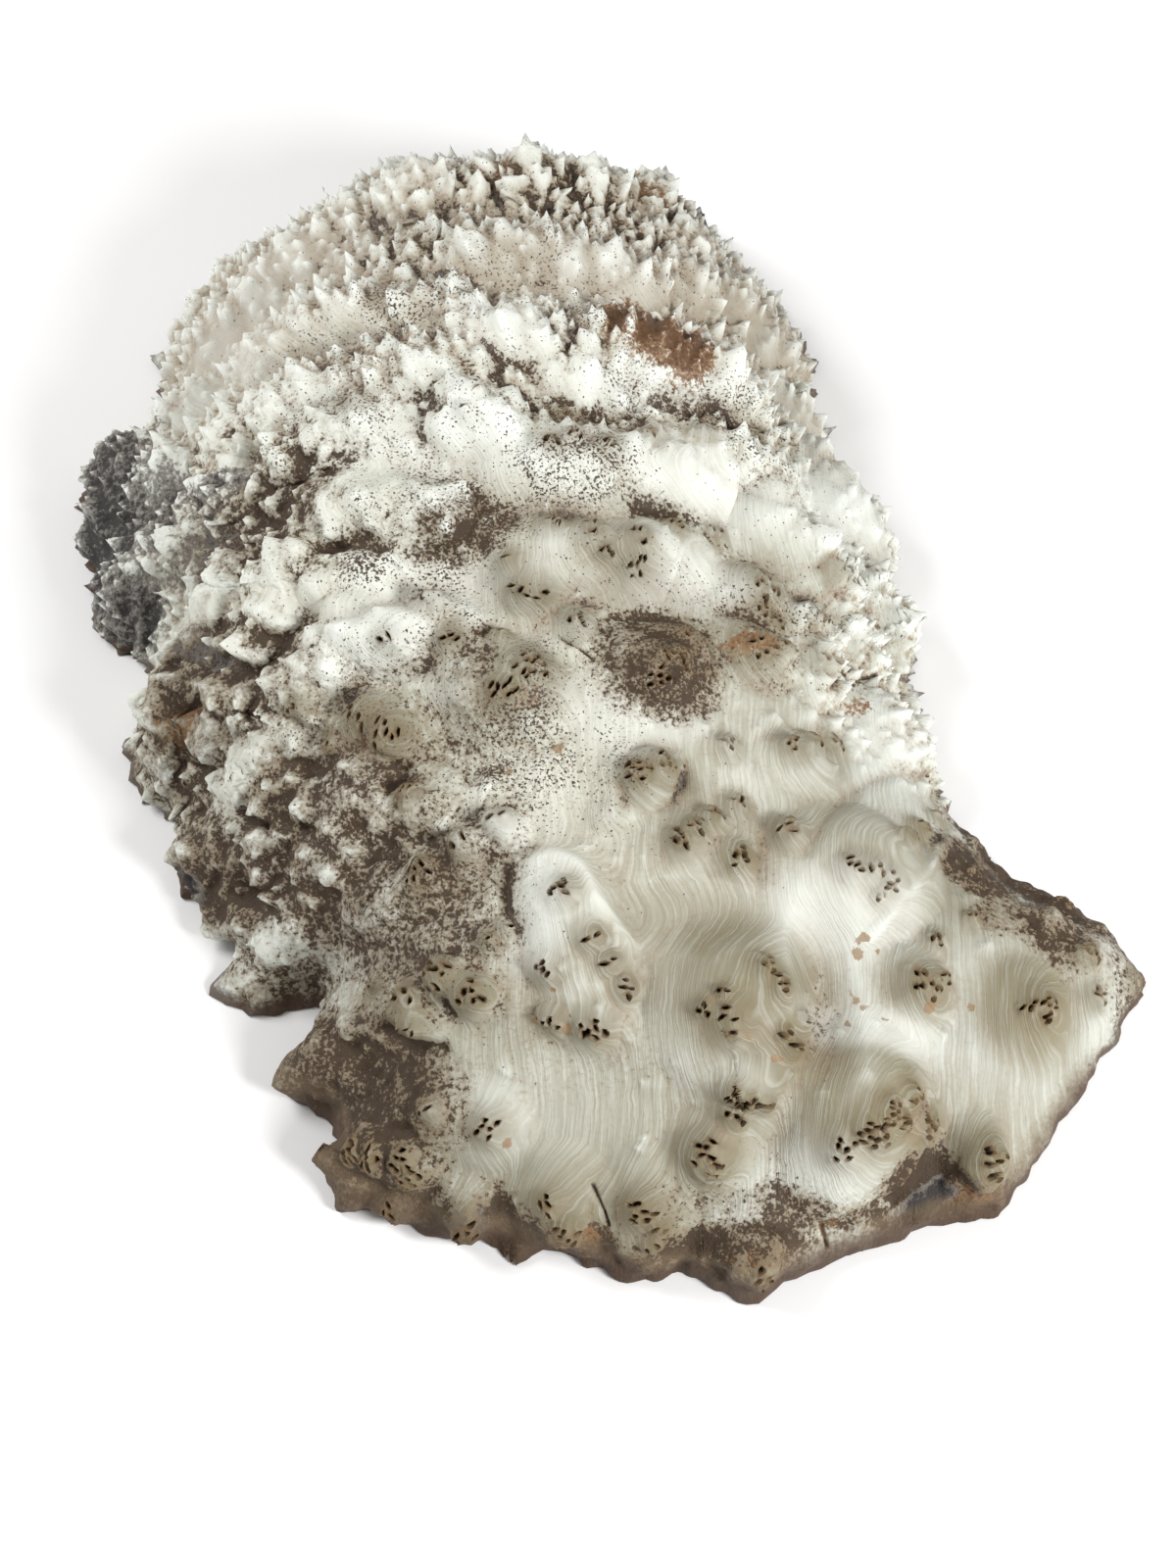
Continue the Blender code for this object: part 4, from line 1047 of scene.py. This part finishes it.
    # Rust and char are real stains. Their masks also add low, so they grow stronger in hollows, which is
    # painted shade.
    rusty = rust * 1.4 - 0.4 + (crumbs - 0.5) * 2.6 + (cloud - 0.5) * 1.3 + low * 0.9
    wood = wood.mixed(RUST_BROWN, rusty.eased(0.25, 0.7) * 0.92)
    wood = wood.mixed(RUST_DEEP, rusty.eased(0.75, 1.1) * 0.8)
    charred = char * 1.5 - 0.4 + (crumbs - 0.5) * 2.2 + (cloud - 0.5) * 0.8 + low * 1.1
    wood = wood.mixed(CHAR_GREY, charred.eased(0.1, 0.6) * 0.85)
    wood = wood.mixed(CHARCOAL, charred.eased(0.6, 1.2) * 0.95)
    rim = low_rim * (broad * 1.2 + 0.35) + (cloud - 0.5) * 0.7 + (crumbs - 0.5) * 0.4
    wood = wood.mixed(RIM_TAN, rim.eased(0.25, 0.8) * 0.7)
    wood = wood.mixed(BARK_BROWN, rim.eased(0.55, 1.0) * 0.9)
    wood = wood.mixed(BARK_BROWN, (cloud * 8.0 + crumbs * 5.0 - height).eased(0.0, 4.0) * 0.9)

    dusty = specks * 0.9 + along.eased(20.0, 120.0) * 0.22
    wanted = dusty * (cloud * 3.0 - 0.5)
    pepper = specks_at(shift, 600.0, 0.36, wanted * 0.7)
    coarse_pepper = specks_at(shift, 300.0, 0.26, wanted * 0.3)
    pepper = pepper.maths("MAXIMUM", pepper, coarse_pepper)
    wood = wood.mixed(SPECK_BROWN, pepper * 0.99)
    mottle = (dust - 0.5) * 3.2 + wanted * 0.95
    wood = wood.mixed(SPECK_BROWN, mottle.eased(0.85, 1.15) * wanted.eased(0.0, 0.1) * 0.98)
    flaky = (flakes + (crumbs - 0.5) * 0.8).eased(0.5, 0.62)
    wood = wood.mixed(FLAKE_BROWN, flaky * (cloud * 0.8 + 0.35))
    wood = wood.mixed(PINHOLE_BROWN, pinhole.eased(0.05, 0.5) * (cloud * 0.5 + 0.45))
    # Painted shade: the cracks are darkened along their depth.
    wood = wood.mixed(GRIME_AND_SHADE_DARK, crack.eased(0.3, 0.9) * 0.5)
    # Painted shade: the inside of each pinhole is painted near black.
    wood = wood.mixed(PINHOLE_SHADE_BLACK, pinhole.eased(0.5, 0.68) * 0.97)
    rough = lines * 0.1 + 0.5 + char * 0.2 + grime * 0.15
    tree.links.new(rough.clamped().socket, shader.inputs["Roughness"])
    relief = lines * (calm * 0.5 + 0.15) + crumbs * (grime * 0.9 + char + spiky * 0.9 + 0.2)
    dress(shader, wood, relief, 0.75, 0.001)
    return material


def sawn_wood():
    """The sawn back: straight saw marks over swirled burl figure with small eyes."""
    material, tree, shader = new_material("sawn back", 0.66, 0.3)
    start = Value(tree, None)
    place = start.node("ShaderNodeTexCoord", output="Object")
    swirl = noise(place, 14.0, 4.0, 0.55)
    figure = noise(place, 9.0, 6.0, 0.6)
    curl = noise(place, 12.0, 2.0, 0.5, "Color")
    bent = nudged(place, curl, 0.05)
    rings = bent.node("ShaderNodeTexVoronoi", {"feature": "F1"}, {"Vector": bent, "Scale": 42.0}, "Distance")
    ripple = (rings * 9.0).maths("SINE", rings * 34.0) * 0.5 + 0.5
    wood = two_tone(swirl, SAWN_PALE, SAWN_TAN)
    wood = wood.mixed(SAWN_BROWN, ripple * 0.3 * (figure + 0.2))
    wood = wood.mixed(SAWN_DARK, (0.16 - rings).eased(0.0, 0.1) * 0.7)
    split = start.node("ShaderNodeSeparateXYZ", sockets={0: place})
    wobble = noise(place, 6.0) * 0.02
    marks = ((split * 1.0 + wobble) * 900.0).maths("SINE", (split * 1.0 + wobble) * 2100.0) * 0.5 + 0.5
    wood = wood.mixed(SAWN_BROWN, marks * 0.14)
    dress(shader, wood, marks + figure * 0.5, 0.5, 0.0004)
    return material


def make_cap():
    skin, fields = grown_skin(SKIN_COUNT)
    mesh = thinned("burl_cap_skin", closed_mesh("dense skin", skin, fields), TRIANGLES)
    mesh.materials.clear()
    mesh.materials.append(burl_wood())
    mesh.materials.append(sawn_wood())
    mesh.shade_smooth()
    mesh.set_sharp_from_angle(angle=SHARP_ANGLE)
    cap = bpy.data.objects.new("burl_cap_wood", mesh)
    bpy.context.scene.collection.objects.link(cap)
    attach(cap, "root")
    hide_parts("burl_cap")


def make_floor():
    mesh = bpy.data.meshes.new("floor")
    ways = ((-1, -1), (1, -1), (1, 1), (-1, 1))
    corners = [(x * FLOOR_SIDE, y * FLOOR_SIDE, FLOOR_DROP) for x, y in ways]
    mesh.from_pydata(corners, [], [(0, 1, 2, 3)])
    material, tree, shader = new_material("pale floor", 0.9, 0.1)
    shader.inputs["Base Color"].default_value = (*FLOOR_GREY, 1.0)
    mesh.materials.append(material)
    floor = bpy.data.objects.new("floor", mesh)
    bpy.context.scene.collection.objects.link(floor)


def make_light(name, place, size, power):
    lamp = bpy.data.lights.new(name, "AREA")
    lamp.shape = "DISK"
    lamp.size = size
    lamp.energy = power
    light = bpy.data.objects.new(name, lamp)
    light.location = place
    light.rotation_euler = (-Vector(place)).to_track_quat("-Z", "Y").to_euler()
    bpy.context.scene.collection.objects.link(light)


def make_camera():
    lens = bpy.data.cameras.new("view")
    lens.sensor_width = SENSOR
    lens.lens = SENSOR * VIEW_SCALE / PICTURE_HEIGHT
    lens.clip_start = 0.05
    lens.clip_end = 20.0
    camera = bpy.data.objects.new("view", lens)
    aim = np.array([-BOX_MIDDLE[0], -BOX_MIDDLE[1], 0.0])
    camera.location = (aim - VIEW_DISTANCE * VIEW_AHEAD) * MM
    camera.rotation_euler = (math.pi / 2 - VIEW_TILT, 0.0, 0.0)
    bpy.context.scene.collection.objects.link(camera)
    bpy.context.scene.camera = camera


def make_world():
    world = bpy.data.worlds.new("studio")
    world.use_nodes = True
    sky = world.node_tree.nodes["Background"]
    sky.inputs["Color"].default_value = (*SKY, 1.0)
    sky.inputs["Strength"].default_value = SKY_STRENGTH
    bpy.context.scene.world = world
    bpy.context.scene.view_settings.view_transform = "Standard"


make_world()
make_floor()
for light_name, light_sizes in LIGHTS.items():
    make_light(light_name, **light_sizes)
make_cap()
make_camera()
